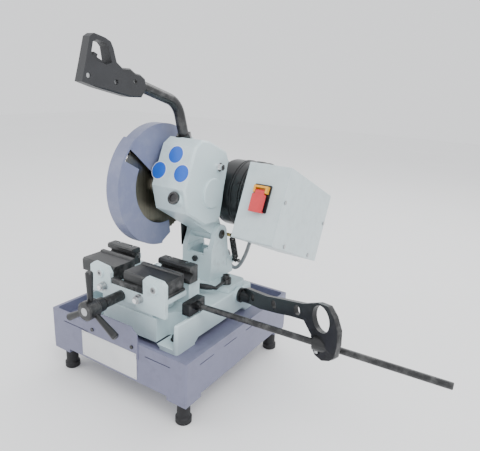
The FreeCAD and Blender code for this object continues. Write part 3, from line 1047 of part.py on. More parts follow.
def make_vise_screw():
    """The vise screw, turned by a hub with three tapering spokes."""
    screw = cyl_y(SCREW_R, WHEEL_Y - 16, BED_BACK, VISE_X, SCREW_Z)
    keep("vise_screw", screw)
    collar = cyl_y(11, BASE_FRONT - 46, BASE_FRONT - GAP, VISE_X, SCREW_Z)
    keep("vise_wheel", collar.cut(cyl_y(SCREW_R, BASE_FRONT - 50, BASE_FRONT + 1, VISE_X, SCREW_Z)))
    hub = fuse([cyl_y(19, WHEEL_Y - 16, WHEEL_Y + 12, VISE_X, SCREW_Z), cyl_y(14, WHEEL_Y + 11, WHEEL_Y + 28, VISE_X, SCREW_Z)])
    rim = [e for e in hub.Edges if e.Curve.TypeId == "Part::GeomCircle" and abs(e.Curve.Radius - 19) < 0.1]
    hub = hub.makeChamfer(2.0, rim)
    hub = hub.cut(cyl_y(SCREW_R, WHEEL_Y - 20, WHEEL_Y + 30, VISE_X, SCREW_Z))
    spokes = []
    for a in (90, 210, 330):
        dx, dz = polar(1.0, a)
        out = Vector(dx, 0, dz)
        base = Vector(VISE_X, WHEEL_Y, SCREW_Z) + out * 12.0
        thick = Part.makeCone(5.0, 7.5, SPOKE_LEN - 15, base, out)
        cap = Part.makeCone(7.5, 5.5, 3.0, base + out * (SPOKE_LEN - 15), out)
        bar = fuse([thick, cap])
        spokes.append(bar)
        hub = hub.cut(bar)
    keep("vise_wheel", hub)
    keep("vise_wheel", *spokes)


def make_bar_stop():
    """The swing arm with its holes, the rod clamped in its end and the stop block on the rod."""
    fx = BASE_HALF_W + 2
    eye_x0 = fx + 6.3
    eye_x1 = fx + 29.7
    fy = STOP_FLANGE_Y
    fz = STOP_FLANGE_Z
    pivot = fuse([cyl_x(9, BASE_HALF_W - 12, fx + 31, fy, fz), cyl_x(STOP_FLANGE_R, fx, fx + 6, fy, fz),
                  cyl_x(11.5, fx + 30, fx + 33, fy, fz)])
    keep("stop_arm_pivot", pivot)
    start = Vector(fx + 18, fy, fz)
    end = Vector(ARM_END_X, STOP_ROD_Y, STOP_ROD_Z)
    run = math.hypot(end.x - start.x, end.y - start.y)
    turn = math.degrees(math.atan2(end.y - start.y, end.x - start.x))
    rise = end.z - start.z
    outline = [(0, -12), (63, 1), (132, 23), (181, 40), (222, 52), (247, 36), (254, 12), (run - 10, 4), (run + 10, 4),
               (run + 30, 15), (run + 41, 27), (run + 45, 52), (run + 43, 77), (run + 29, 97), (run + 12, 108),
               (run - 14, 103), (216, 82), (153, 62), (88, 41), (28, 28), (0, 22), (-12, 12), (-12, -6)]
    plate = prism_y(outline, -5, 5)
    plate = plate.cut(cyl_y(24, -6, 6, run - 3, rise + 48))
    for u, w, r in ((34, 13, 8.0), (119, 36, 9.0), (199, 61, 10.0)):
        plate = plate.cut(cyl_y(r, -6, 6, u, w))
    plate.rotate(Vector(0, 0, 0), Z_AXIS, turn)
    plate.translate(start)
    eye = cyl_x(14, eye_x0, eye_x1, fy, fz)
    clamp = turned_with_rod(cyl_x(13, ARM_END_X - 14, ARM_END_X + 14, STOP_ROD_Y, STOP_ROD_Z))
    arm = fuse([plate, clamp, eye])
    arm = arm.cut(turned_with_rod(cyl_x(STOP_ROD_R + FIT, ARM_END_X - 60, ARM_END_X + 60, STOP_ROD_Y, STOP_ROD_Z)))
    arm = arm.cut(cyl_x(9 + FIT, fx, fx + 60, fy, fz)).cut(cyl_x(12, eye_x1, fx + 50, fy, fz))
    arm = arm.cut(box(fx - 10, eye_x0, fy - 30, fy + 30, fz - 30, fz + 30))
    screws = []
    for x in (ARM_END_X - 7, ARM_END_X + 7):
        low = STOP_ROD_Z - 13
        hole = fuse([cyl_z(3.0, low - 3, STOP_ROD_Z - 4, x, STOP_ROD_Y), cyl_z(6.5, low - 6, low, x, STOP_ROD_Y)])
        arm = arm.cut(turned_with_rod(hole))
        screws.append(turned_with_rod(fuse([cyl_z(3.0, low - 1, STOP_ROD_Z - STOP_ROD_R - 0.4, x, STOP_ROD_Y),
                                            hexagon(5.5, 4.5, Vector(x, STOP_ROD_Y, low), Vector(0, 0, -1))])))
    keep("stop_arm", arm)
    keep("stop_clamp_screws", *screws)
    rod = cyl_x(STOP_ROD_R, STOP_BLOCK_X + 10, STOP_ROD_END, STOP_ROD_Y, STOP_ROD_Z)
    rod = rod.makeChamfer(1.0, [e for e in rod.Edges if abs(e.BoundBox.XMin - STOP_ROD_END) < 0.01])
    keep("stop_rod", turned_with_rod(rod))
    block = box(STOP_BLOCK_X, STOP_BLOCK_X + 17, STOP_ROD_Y - 30, STOP_ROD_Y + 24, STOP_ROD_Z - 14, STOP_ROD_Z + 12)
    block = block.makeChamfer(2.0, edges_where(block, lambda e: is_parallel(e, X_AXIS)))
    neck = cyl_x(9.5, STOP_BLOCK_X + 16, STOP_BLOCK_X + 26, STOP_ROD_Y, STOP_ROD_Z)
    block = fuse([block, neck]).cut(cyl_x(STOP_ROD_R, STOP_BLOCK_X + 10, STOP_BLOCK_X + 30, STOP_ROD_Y, STOP_ROD_Z))
    keep("stop_block", turned_with_rod(block))


def turned_with_rod(shape):
    """The same shape, turned about the arm's clamp to the direction in which the rod points."""
    turned = shape.copy()
    turned.rotate(Vector(ARM_END_X, STOP_ROD_Y, 0), Z_AXIS, STOP_ROD_TURN)
    return turned


def make_column_guard():
    """A bent black sheet on the column's left side, closing the gap beside the blade."""
    outline = [(44, 262), (92, 262), (96, 300), (88, 338), (60, 346), (40, 330)]
    sheet = prism_x(outline, COL_X0 - 5.5, COL_X0 - 4)
    spacer = cyl_x(6, COL_X0 - 4, COL_X0, 70, 272)
    keep("column_guard_plate", fuse([sheet, spacer]))


def make_angle_scale():
    """A curved steel strip on the base, beside the turntable, read against the column's foot."""
    outer = cyl_z(DISC_R + 12, BASE_TOP, BASE_TOP + 0.8, SWIVEL_X, SWIVEL_Y)
    inner = cyl_z(DISC_R + 2, BASE_TOP - 1, BASE_TOP + 2, SWIVEL_X, SWIVEL_Y)
    p0 = polar(140, -30)
    p1 = polar(140, 26)
    wedge = prism_z([(SWIVEL_X, SWIVEL_Y), (SWIVEL_X + p0[0], SWIVEL_Y + p0[1]),
                     (SWIVEL_X + p1[0], SWIVEL_Y + p1[1])], BASE_TOP - 1, BASE_TOP + 2)
    keep("angle_scale", outer.cut(inner).common(wedge))


def make_lead():
    """The lead from the box's gland to the column's rear socket: straight runs and tangent arcs."""
    top = head_place(Part.Vertex(Vector(BOX_X0 - 18, GLAND_Y, GLAND_Z))).Point
    end = Vector(LEAD_X, COL_BACK + 21, LEAD_END_Z)
    route = [top, Vector(104, top.y, top.z), Vector(90, 150, 232), Vector(66, 151, 188), Vector(40, 152, 196),
             end + Vector(0, 24, 0), end]
    tube_along(route, LEAD_R, "control_lead")


def tube_along(points, radius, name):
    """A round cord through the points, each corner turned by the largest arc its runs allow."""
    edges = []
    radii = []
    at = points[0]
    for i in range(1, len(points) - 1):
        a, b, c = points[i - 1], points[i], points[i + 1]
        u = (b - a).normalize()
        w = (c - b).normalize()
        half = u.getAngle(w) / 2
        shorter = min((b - a).Length, (c - b).Length)
        cut = 0.45 * shorter
        arc_r = cut / math.tan(half)
        radii.append(arc_r)
        start = b - u * cut
        stop = b + w * cut
        bisector = (w - u).normalize()
        middle = b + bisector * (arc_r / math.cos(half) - arc_r)
        edges.append(Part.LineSegment(at, start).toShape())
        edges.append(Part.Arc(start, middle, stop).toShape())
        at = stop
    edges.append(Part.LineSegment(at, points[-1]).toShape())
    path = Part.Wire(edges)
    ring = Part.Wire(Part.makeCircle(radius, points[0], points[1] - points[0]))
    solid = path.makePipeShell([ring], True, False)
    ideal = math.pi * radius ** 2 * path.Length
    print("%s: length %.0f mm, radii %s, volume ratio %.4f"
          % (name, path.Length, " ".join("%.0f" % r for r in radii), solid.Volume / ideal))
    keep(name, solid)


def main():
    os.makedirs("parts", exist_ok=True)
    make_drip_tray()
    make_feet()
    make_splash_plate()
    make_base_casting()
    make_angle_scale()
    make_turntable()
    make_lever()
    make_return_spring()
    make_gearbox()
    make_shafts()
    make_motor()
    make_control_box()
    make_guards()
    make_handle()
    make_vise()
    make_bar_stop()
    make_column_guard()
    make_lead()
    for name, shapes in NODES.items():
        shape = shapes[0] if len(shapes) == 1 else Part.makeCompound(shapes)
        if not shape.isValid():
            print("not valid: " + name)
        shape.translate(Vector(TRAY_W / 2 - FOOT_INSET, TRAY_D / 2 - FOOT_INSET, 0))
        shape.exportStep("parts/" + name + ".step")
    print("%d nodes" % len(NODES))


main()
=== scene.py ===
import math

import bmesh
import bpy
from mathutils import Matrix, Vector


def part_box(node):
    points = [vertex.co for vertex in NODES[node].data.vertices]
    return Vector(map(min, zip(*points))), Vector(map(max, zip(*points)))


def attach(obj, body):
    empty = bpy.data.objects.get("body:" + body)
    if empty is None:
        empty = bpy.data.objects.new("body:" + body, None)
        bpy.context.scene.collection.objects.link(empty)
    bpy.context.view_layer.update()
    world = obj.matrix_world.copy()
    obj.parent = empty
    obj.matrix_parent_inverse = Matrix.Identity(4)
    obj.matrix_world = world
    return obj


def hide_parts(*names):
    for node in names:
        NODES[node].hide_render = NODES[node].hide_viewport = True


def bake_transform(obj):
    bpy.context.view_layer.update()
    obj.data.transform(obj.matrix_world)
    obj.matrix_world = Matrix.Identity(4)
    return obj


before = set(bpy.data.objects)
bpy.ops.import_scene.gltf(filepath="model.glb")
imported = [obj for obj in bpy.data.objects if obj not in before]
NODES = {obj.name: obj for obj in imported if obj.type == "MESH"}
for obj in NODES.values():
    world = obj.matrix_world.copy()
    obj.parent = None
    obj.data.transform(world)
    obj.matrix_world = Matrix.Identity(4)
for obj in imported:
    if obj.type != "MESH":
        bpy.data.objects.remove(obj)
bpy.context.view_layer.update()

# Places and sizes in metres, measured from the middle of the tray
TRAY_LOW, TRAY_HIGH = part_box("drip_tray")
MIDDLE = Vector(((TRAY_LOW[0] + TRAY_HIGH[0]) / 2, (TRAY_LOW[1] + TRAY_HIGH[1]) / 2, 0.0))
HEAD_TILT = math.radians(23.5)
PIVOT = MIDDLE + Vector((0.0, 0.078, 0.297))
GEARBOX_FRONT = -0.181
TRAY_FRONT = -0.1925
SPLASH_FRONT = -0.1940
MOTOR_AXIS = (0.032, 0.106)
SPRING_X = 0.0755
SPRING_LOW = (0.129, 0.222)
SPRING_HIGH = (0.107, 0.289)

LEAD_D = 0.009
LEAD_ROUTE = ((0.132, 0.14778, 0.28193), (0.104, 0.14778, 0.28193), (0.090, 0.150, 0.232),
              (0.066, 0.151, 0.188), (0.040, 0.152, 0.196), (0.040, 0.153, 0.236), (0.040, 0.129, 0.236))

STICKERS = ((0.0295, 0.126), (-0.0024, 0.089), (0.055, 0.090))
STICKER_RIM_R = 0.0190
STICKER_FACE_R = 0.0174
PLATE_X0 = -0.089
PLATE_LENGTH = 0.153
PLATE_LOW = 0.067
PLATE_HIGH = 0.124
PLATE_RIVETS = ((-0.0855, 0.0705), (0.0605, 0.0705), (-0.0855, 0.1205), (0.0605, 0.1205))
SPLASH_FOOT = 0.1121
COWL_BORE_R = 0.0326
COWL_SHELL_R = 0.0762
COWL_RIB_R = 0.0778
COWL_RIBS = (0.1185, 0.1125, 0.1065, 0.0885, 0.0825)
SPRING_HOOK_R = 0.0046
SPRING_R = 0.006
SPRING_END_GAP = 0.009
SPRING_TURNS = 15
SPRING_WIRE_R = 0.0014
RELIEF_LENGTH = 0.022
RELIEF_WIDE_R = 0.0072
RELIEF_NARROW_R = 0.0050


# Materials

def new_material(name):
    mat = bpy.data.materials.new(name)
    mat.use_nodes = True
    nodes = mat.node_tree.nodes
    return mat, nodes, mat.node_tree.links, nodes["Principled BSDF"]


def noise(nodes, links, scale, detail, rough, coords=None):
    tex = nodes.new("ShaderNodeTexNoise")
    tex.inputs["Scale"].default_value = scale
    tex.inputs["Detail"].default_value = detail
    tex.inputs["Roughness"].default_value = rough
    if coords is None:
        coords = nodes.new("ShaderNodeTexCoord").outputs["Object"]
    links.new(coords, tex.inputs["Vector"])
    return tex


def ramp(nodes, links, source, low, high, colors):
    node = nodes.new("ShaderNodeValToRGB")
    node.color_ramp.elements[0].position = low
    node.color_ramp.elements[1].position = high
    node.color_ramp.elements[0].color = (*colors[0], 1)
    node.color_ramp.elements[1].color = (*colors[1], 1)
    links.new(source, node.inputs["Fac"])
    return node


def bump(nodes, links, bsdf, height, strength, distance):
    node = nodes.new("ShaderNodeBump")
    node.inputs["Strength"].default_value = strength
    node.inputs["Distance"].default_value = distance
    links.new(height, node.inputs["Height"])
    links.new(node.outputs["Normal"], bsdf.inputs["Normal"])
    return node


def shade(color, factor):
    return tuple(min(1.0, c * factor) for c in color)


def surface(name, color, spread, scale, roughness, metallic=0.0, grain=900.0, depth=0.00006, coat=0.0):
    """A surface with soft mottling in colour, uneven roughness and a fine skin."""
    mat, nodes, links, bsdf = new_material(name)
    broad = noise(nodes, links, scale, 4.0, 0.6)
    tones = (shade(color, 1 - spread), shade(color, 1 + spread))
    tint = ramp(nodes, links, broad.outputs["Fac"], 0.3, 0.7, tones)
    links.new(tint.outputs["Color"], bsdf.inputs["Base Color"])
    fine = noise(nodes, links, grain, 2.0, 0.5)
    span = nodes.new("ShaderNodeMapRange")
    span.inputs["To Min"].default_value = roughness - 0.06
    span.inputs["To Max"].default_value = roughness + 0.08
    links.new(broad.outputs["Fac"], span.inputs["Value"])
    links.new(span.outputs["Result"], bsdf.inputs["Roughness"])
    bsdf.inputs["Metallic"].default_value = metallic
    bsdf.inputs["Coat Weight"].default_value = coat
    bump(nodes, links, bsdf, fine.outputs["Fac"], 0.35, depth)
    return mat


def brushed(name, color, roughness, axis, scale=260.0):
    """Machined or drawn steel with fine lines along one axis."""
    mat, nodes, links, bsdf = new_material(name)
    coords = nodes.new("ShaderNodeTexCoord")
    mapping = nodes.new("ShaderNodeMapping")
    stretch = [1.0, 1.0, 1.0]
    stretch["XYZ".index(axis)] = 0.04
    mapping.inputs["Scale"].default_value = stretch
    links.new(coords.outputs["Object"], mapping.inputs["Vector"])
    lines = noise(nodes, links, scale, 3.0, 0.6, mapping.outputs["Vector"])
    tint = ramp(nodes, links, lines.outputs["Fac"], 0.3, 0.7, (shade(color, 0.8), shade(color, 1.15)))
    links.new(tint.outputs["Color"], bsdf.inputs["Base Color"])
    span = nodes.new("ShaderNodeMapRange")
    span.inputs["To Min"].default_value = roughness - 0.08
    span.inputs["To Max"].default_value = roughness + 0.12
    links.new(lines.outputs["Fac"], span.inputs["Value"])
    links.new(span.outputs["Result"], bsdf.inputs["Roughness"])
    bsdf.inputs["Metallic"].default_value = 1.0
    bump(nodes, links, bsdf, lines.outputs["Fac"], 0.2, 0.00005)
    return mat


def threaded(name, color, roughness, axis, pitch):
    """Steel cut with a screw thread: rings across one axis, with painted shade darkening the roots."""
    mat, nodes, links, bsdf = new_material(name)
    coords = nodes.new("ShaderNodeTexCoord")
    wave = nodes.new("ShaderNodeTexWave")
    wave.bands_direction = axis
    wave.inputs["Scale"].default_value = 0.314 / pitch
    wave.inputs["Distortion"].default_value = 0.0
    links.new(coords.outputs["Object"], wave.inputs["Vector"])
    # Painted shade: the thread roots are darkened in the base colour, as if shade fell into the grooves.
    tint = ramp(nodes, links, wave.outputs["Fac"], 0.2, 0.8, (shade(color, 0.35), shade(color, 1.1)))
    links.new(tint.outputs["Color"], bsdf.inputs["Base Color"])
    bsdf.inputs["Roughness"].default_value = roughness
    bsdf.inputs["Metallic"].default_value = 1.0
    bump(nodes, links, bsdf, wave.outputs["Fac"], 0.9, 0.0008)
    return mat


def worn_paint(name, color, edge_color, roughness, spread=0.05, wear=0.5, scale=7.0, cast=0.0):
    """Paint that is rubbed thin on convex edges, over a casting or sheet."""
    mat = surface(name, color, spread, scale, roughness, grain=420.0 if cast else 1400.0,
                  depth=0.00022 if cast else 0.00004, coat=0.12)
    nodes = mat.node_tree.nodes
    links = mat.node_tree.links
    bsdf = nodes["Principled BSDF"]
    geometry = nodes.new("ShaderNodeNewGeometry")
    edges = ramp(nodes, links, geometry.outputs["Pointiness"], 0.52, 0.58, ((0, 0, 0), (1, 1, 1)))
    patches = noise(nodes, links, 45.0, 5.0, 0.65)
    gate = ramp(nodes, links, patches.outputs["Fac"], 0.46, 0.62, ((0, 0, 0), (wear, wear, wear)))
    both = nodes.new("ShaderNodeMath")
    both.operation = "MULTIPLY"
    links.new(edges.outputs["Color"], both.inputs[0])
    links.new(gate.outputs["Color"], both.inputs[1])
    mix = nodes.new("ShaderNodeMix")
    mix.data_type = "RGBA"
    mix.inputs["B"].default_value = (*edge_color, 1)
    old = bsdf.inputs["Base Color"].links[0].from_socket
    links.new(old, mix.inputs["A"])
    links.new(both.outputs["Value"], mix.inputs["Factor"])
    links.new(mix.outputs["Result"], bsdf.inputs["Base Color"])
    return mat


LIGHT_PAINT = (0.60, 0.735, 0.765)
TRAY_PAINT = (0.165, 0.17, 0.26)
GUARD_PAINT = (0.165, 0.185, 0.30)
BOX_PAINT = (0.56, 0.66, 0.68)
BLACK_PAINT = (0.006, 0.0065, 0.0075)

MAT = {
    "light_cast": worn_paint("paint light casting", LIGHT_PAINT, (0.30, 0.34, 0.35), 0.34,
                             0.05, 0.3, 9.0, 1.0),
    "light_smooth": worn_paint("paint light smooth", LIGHT_PAINT, (0.36, 0.42, 0.44), 0.30, 0.04, 0.25, 6.0),
    "tray": worn_paint("paint tray", TRAY_PAINT, (0.10, 0.10, 0.15), 0.42, 0.035, 0.3, 8.0),
    "guard": worn_paint("paint guard", GUARD_PAINT, (0.24, 0.26, 0.36), 0.38, 0.03, 0.3, 6.0),
    "box": worn_paint("paint control box", BOX_PAINT, (0.33, 0.40, 0.42), 0.36, 0.03, 0.2, 5.0),
    "black": worn_paint("paint black", BLACK_PAINT, (0.09, 0.09, 0.09), 0.36, 0.25, 0.7, 16.0, 1.0),
    "black_smooth": worn_paint("paint black smooth", BLACK_PAINT, (0.10, 0.10, 0.10), 0.28, 0.25, 0.5, 12.0),
    "black_iron": worn_paint("black iron", (0.016, 0.017, 0.018), (0.12, 0.12, 0.12), 0.42,
                             0.35, 0.8, 30.0, 1.0),
    "rubber": surface("rubber", (0.008, 0.008, 0.010), 0.25, 30.0, 0.62, grain=700.0, depth=0.0001),
    "grip": surface("moulded black plastic", (0.018, 0.019, 0.022), 0.2, 24.0, 0.46,
                    grain=1500.0, depth=0.00008),
    "grey_plastic": surface("grey plastic", (0.20, 0.21, 0.22), 0.12, 24.0, 0.45, grain=1200.0),
    "red": surface("red plastic", (0.62, 0.022, 0.03), 0.08, 40.0, 0.3,
                   grain=1500.0, depth=0.00003, coat=0.2),
    "yellow": surface("yellow plastic", (0.80, 0.38, 0.02), 0.07, 40.0, 0.32,
                      grain=1500.0, depth=0.00003, coat=0.2),
    "switch_black": surface("switch black plastic", (0.012, 0.012, 0.014), 0.2, 40.0, 0.34, grain=1500.0),
    "steel_x": brushed("steel drawn along x", (0.55, 0.56, 0.57), 0.30, "X"),
    "steel_y": brushed("steel drawn along y", (0.55, 0.56, 0.57), 0.30, "Y"),
    "thread_y": threaded("threaded steel", (0.42, 0.43, 0.44), 0.34, "Y", 0.003),
    "steel_z": brushed("steel screws", (0.50, 0.51, 0.52), 0.34, "Z"),
    "chrome": brushed("chrome", (0.80, 0.81, 0.82), 0.12, "Y", 120.0),
    "blade": brushed("blade steel", (0.22, 0.20, 0.155), 0.36, "Z", 180.0),
    "brass": brushed("brass", (0.60, 0.42, 0.16), 0.30, "X"),
    "sticker_blue": surface("blue sticker", (0.01, 0.115, 0.60), 0.04, 60.0, 0.38,
                            grain=1800.0, depth=0.00002),
    "sticker_edge": surface("sticker edge", (0.74, 0.80, 0.84), 0.03, 60.0, 0.40,
                            grain=1800.0, depth=0.00002),
    "plate": surface("bare label plate", (0.66, 0.67, 0.68), 0.04, 30.0, 0.42, grain=1500.0, depth=0.00003),
    "lead": surface("grey lead", (0.27, 0.28, 0.29), 0.12, 30.0, 0.5, grain=900.0),
}

NODE_LOOKS = {
    "tray": ["drip_tray", "corner_brackets", "splash_plate"],
    "guard": ["upper_guard", "lower_guard"],
    "light_cast": ["base_casting", "turntable_column", "gearbox_housing", "vise_bed", "vise_slide_casting"],
    "light_smooth": ["gearbox_cover"],
    "box": ["control_box", "control_box_cover"],
    "black": ["motor_housing", "motor_end_bell", "stop_arm", "stop_arm_pivot", "vise_wheel"],
    "black_smooth": ["handle_tube", "handle_nut", "stop_rod", "stop_block", "column_guard_plate",
                     "gearbox_front_plug", "swivel_lever", "stand_bolts", "turntable_pins"],
    "black_iron": ["rear_jaws", "front_jaws", "vise_top_block"],
    "rubber": ["rubber_feet"],
    "grip": ["grip_shell_left", "grip_shell_right", "swivel_lever_grip", "trigger"],
    "grey_plastic": ["box_gland", "start_button"],
    "red": ["stop_button", "stop_flap"],
    "yellow": ["switch_bridge"],
    "switch_black": ["switch_housing"],
    "steel_x": ["blade_shaft", "blade_flange", "middle_gears", "idler_gear", "motor_rotor"],
    "steel_y": ["angle_scale"],
    "thread_y": ["vise_screw"],
    "steel_z": ["rear_jaw_screws", "vise_slide_screws", "head_screws", "stop_clamp_screws"],
    "chrome": ["guide_rods", "oil_filler_plug"],
    "blade": ["saw_blade"],
    "brass": ["head_pins"],
    "lead": ["control_lead"],
}


SOFT_EDGES = {
    "base_casting": 0.0016, "gearbox_housing": 0.0020, "turntable_column": 0.0014, "vise_bed": 0.0012,
    "vise_slide_casting": 0.0012, "gearbox_cover": 0.0012, "rear_jaws": 0.0005, "front_jaws": 0.0005,
    "vise_top_block": 0.0006, "stop_arm": 0.0008, "grip_shell_left": 0.0012, "grip_shell_right": 0.0012,
    "stop_block": 0.0008, "rubber_feet": 0.0008, "stop_flap": 0.0007, "switch_bridge": 0.0005,
}


def dress_nodes():
    """Give every CAD node its material, and round the edges that a casting or moulding has round."""
    for look, names in NODE_LOOKS.items():
        for name in names:
            obj = NODES[name]
            obj.data.materials.clear()
            obj.data.materials.append(MAT[look])
    for name, width in SOFT_EDGES.items():
        round_edges(NODES[name], width)


def round_edges(obj, width):
    """Weld the mesh's seams, then round its sharp edges and even out the normals."""
    for polygon in obj.data.polygons:
        polygon.use_smooth = True
    weld = obj.modifiers.new("weld", "WELD")
    weld.merge_threshold = 0.00001
    rounded = obj.modifiers.new("rounded", "BEVEL")
    rounded.width = width
    rounded.segments = 2
    rounded.limit_method = "ANGLE"
    rounded.angle_limit = math.radians(34)
    rounded.use_clamp_overlap = True
    even = obj.modifiers.new("even", "WEIGHTED_NORMAL")
    even.weight = 80


# Pieces that the CAD model leaves to this script

def place(name, mesh_or_curve, look, body):
    """A finished piece in the scene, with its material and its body."""
    obj = bpy.data.objects.new(name, mesh_or_curve)
    bpy.context.scene.collection.objects.link(obj)
    obj.data.materials.append(MAT[look])
    if body is not None:
        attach(obj, body)
    return obj


def lathed(name, profile, frame_matrix, steps=96, smooth_angle=30.0):
    """A mesh turned about the local z axis from (radius, height) points, closed on itself."""
    bm = bmesh.new()
    rings = []
    for radius, height in profile:
        if radius < 1e-6:
            rings.append([bm.verts.new((0.0, 0.0, height))])
            continue
        ring = []
        for i in range(steps):
            turn = 2 * math.pi * i / steps
            ring.append(bm.verts.new((radius * math.cos(turn), radius * math.sin(turn), height)))
        rings.append(ring)
    pairs = list(zip(rings, rings[1:]))
    if len(rings[0]) > 1 and len(rings[-1]) > 1:
        pairs.append((rings[-1], rings[0]))
    for low, high in pairs:
        for i in range(steps):
            j = (i + 1) % steps
            if len(low) == 1:
                bm.faces.new((low[0], high[j], high[i]))
            elif len(high) == 1:
                bm.faces.new((low[i], low[j], high[0]))
            else:
                bm.faces.new((low[i], low[j], high[j], high[i]))
    return finished_mesh(bm, name, frame_matrix, smooth_angle)


def extruded(name, outline, depth, frame_matrix, rounding=0.0, smooth_angle=30.0):
    """A slab from a closed outline in the local xy plane, its edges rounded."""
    bm = bmesh.new()
    face = bm.faces.new([bm.verts.new((x, y, 0.0)) for x, y in outline])
    top = bmesh.ops.extrude_face_region(bm, geom=[face])
    far_verts = [v for v in top["geom"] if isinstance(v, bmesh.types.BMVert)]
    bmesh.ops.translate(bm, verts=far_verts, vec=(0, 0, depth))
    if rounding > 0:
        bmesh.ops.bevel(bm, geom=bm.edges[:], offset=rounding, segments=2, profile=0.5, affect="EDGES")
    return finished_mesh(bm, name, frame_matrix, smooth_angle)


def finished_mesh(bm, name, frame_matrix, smooth_angle):
    bmesh.ops.recalc_face_normals(bm, faces=bm.faces[:])
    mesh = bpy.data.meshes.new(name)
    bm.to_mesh(mesh)
    bm.free()
    mesh.transform(frame_matrix)
    mesh.shade_smooth()
    mesh.set_sharp_from_angle(angle=math.radians(smooth_angle))
    return mesh


def mesh_of(curve):
    """A curve's line, or its tube where it has a bevel, as a mesh."""
    carrier = bpy.data.objects.new(curve.name, curve)
    mesh = bpy.data.meshes.new_from_object(carrier)
    bpy.data.objects.remove(carrier)
    for polygon in mesh.polygons:
        polygon.use_smooth = True
    return mesh


def on_head(x, y, z):
    """The head's own frame at a point of it: the local x stays, y and z lean back with the head."""
    return Matrix.Translation(PIVOT) @ Matrix.Rotation(-HEAD_TILT, 4, "X") @ Matrix.Translation((x, y, z))


FACING_FRONT = Matrix.Rotation(math.radians(90), 4, "X")
ALONG_X = Matrix.Rotation(math.radians(90), 4, "Y")


def make_stickers():
    """Three round blue stickers with pale rims and nothing printed on them."""
    rim = [(0.0, 0.00002), (STICKER_RIM_R, 0.00002), (STICKER_RIM_R, 0.00022), (0.0188, 0.00030),
           (0.0, 0.00030)]
    disc = [(0.0, 0.00024), (STICKER_FACE_R, 0.00024), (STICKER_FACE_R, 0.00042), (0.0172, 0.00048),
            (0.0, 0.00048)]
    for i, (x, z) in enumerate(STICKERS):
        at = on_head(x, GEARBOX_FRONT, z) @ FACING_FRONT
        rim_mesh = lathed("sticker rim", rim, at)
        place("sticker_rim_%d" % (i + 1), rim_mesh, "sticker_edge", "head")
        face_mesh = lathed("sticker face", disc, at)
        place("sticker_face_%d" % (i + 1), face_mesh, "sticker_blue", "head")


def make_label_plate():
    """A bare plate on the tray's front, stepped over the splash plate's foot."""
    step = SPLASH_FOOT - 0.0008
    on_tray = TRAY_FRONT - 0.00005
    on_splash = SPLASH_FRONT - 0.00005
    face = SPLASH_FRONT - 0.0007
    profile = [(on_tray, PLATE_LOW), (face, PLATE_LOW), (face, PLATE_HIGH), (on_splash, PLATE_HIGH),
               (on_splash, step), (on_tray, step)]
    upright = Matrix.Translation(MIDDLE + Vector((PLATE_X0, 0, 0))) @ Matrix(
        ((0, 0, 1, 0), (1, 0, 0, 0), (0, 1, 0, 0), (0, 0, 0, 1)))
    plate_mesh = extruded("label plate", profile, PLATE_LENGTH, upright, 0.0002)
    place("label_plate", plate_mesh, "plate", "stand")
    head = [(0.0, -0.0001), (0.0016, -0.0001), (0.0016, 0.0003), (0.0011, 0.0008), (0.0, 0.0010)]
    for i, (x, z) in enumerate(PLATE_RIVETS):
        at = Matrix.Translation(MIDDLE + Vector((x, face, z))) @ FACING_FRONT
        place("plate_rivet_%d" % (i + 1), lathed("plate rivet", head, at, 24), "steel_y", "stand")


def make_motor_cowl():
    """The motor's barrel as it shows: a smooth black cowl with narrow ribs round it."""
    profile = [(COWL_BORE_R, 0.054), (COWL_BORE_R, 0.126), (COWL_SHELL_R, 0.126)]
    for x in COWL_RIBS:
        profile += [(COWL_SHELL_R, x + 0.0016), (COWL_RIB_R, x + 0.0007),
                    (COWL_RIB_R, x - 0.0007), (COWL_SHELL_R, x - 0.0016)]
    profile += [(COWL_SHELL_R, 0.0515), (0.0745, 0.0500), (0.0745, 0.0462), (0.0730, 0.0442),
                (0.0330, 0.0442), (COWL_BORE_R, 0.050)]
    at = on_head(0.0, *MOTOR_AXIS) @ ALONG_X
    cowl_mesh = lathed("motor cowl", profile, at, 128, 24.0)
    cowl = place("motor_cowl", cowl_mesh, "black_smooth", "head")
    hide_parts("motor_housing")


def make_spring():
    """The return spring: one close-wound wire with a hook round each pin."""
    low = MIDDLE + Vector((SPRING_X, *SPRING_LOW))
    high = MIDDLE + Vector((SPRING_X, *SPRING_HIGH))
    along = (high - low).normalized()
    side = along.cross(Vector((1, 0, 0)))
    length = (high - low).length
    steps = 20
    count = SPRING_TURNS * steps
    points = []
    for i in range(13):
        turn = math.radians(-220 + 220 * i / 12)
        points.append(low + (side * math.cos(turn) + along * math.sin(turn)) * SPRING_HOOK_R)
    points.append(low + side * 0.0052 + along * 0.0045)
    for i in range(count + 1):
        turn = 2 * math.pi * i / steps
        rise = SPRING_END_GAP + (length - 2 * SPRING_END_GAP) * i / count
        out = side * math.cos(turn) + Vector((math.sin(turn), 0, 0))
        points.append(low + along * rise + out * SPRING_R)
    points.append(high + side * 0.0052 - along * 0.0045)
    for i in range(13):
        turn = math.radians(220 * i / 12)
        points.append(high + (side * math.cos(turn) + along * math.sin(turn)) * SPRING_HOOK_R)
    wire = bpy.data.curves.new("spring wire", "CURVE")
    wire.dimensions = "3D"
    wire.bevel_depth = SPRING_WIRE_R
    wire.bevel_resolution = 3
    wire.use_fill_caps = True
    spline = wire.splines.new("POLY")
    spline.points.add(len(points) - 1)
    for target, point in zip(spline.points, points):
        target.co = (*point, 1.0)
    spring = place("spring_wire", mesh_of(wire), "black_smooth", None)
    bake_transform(spring)
    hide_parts("return_spring")


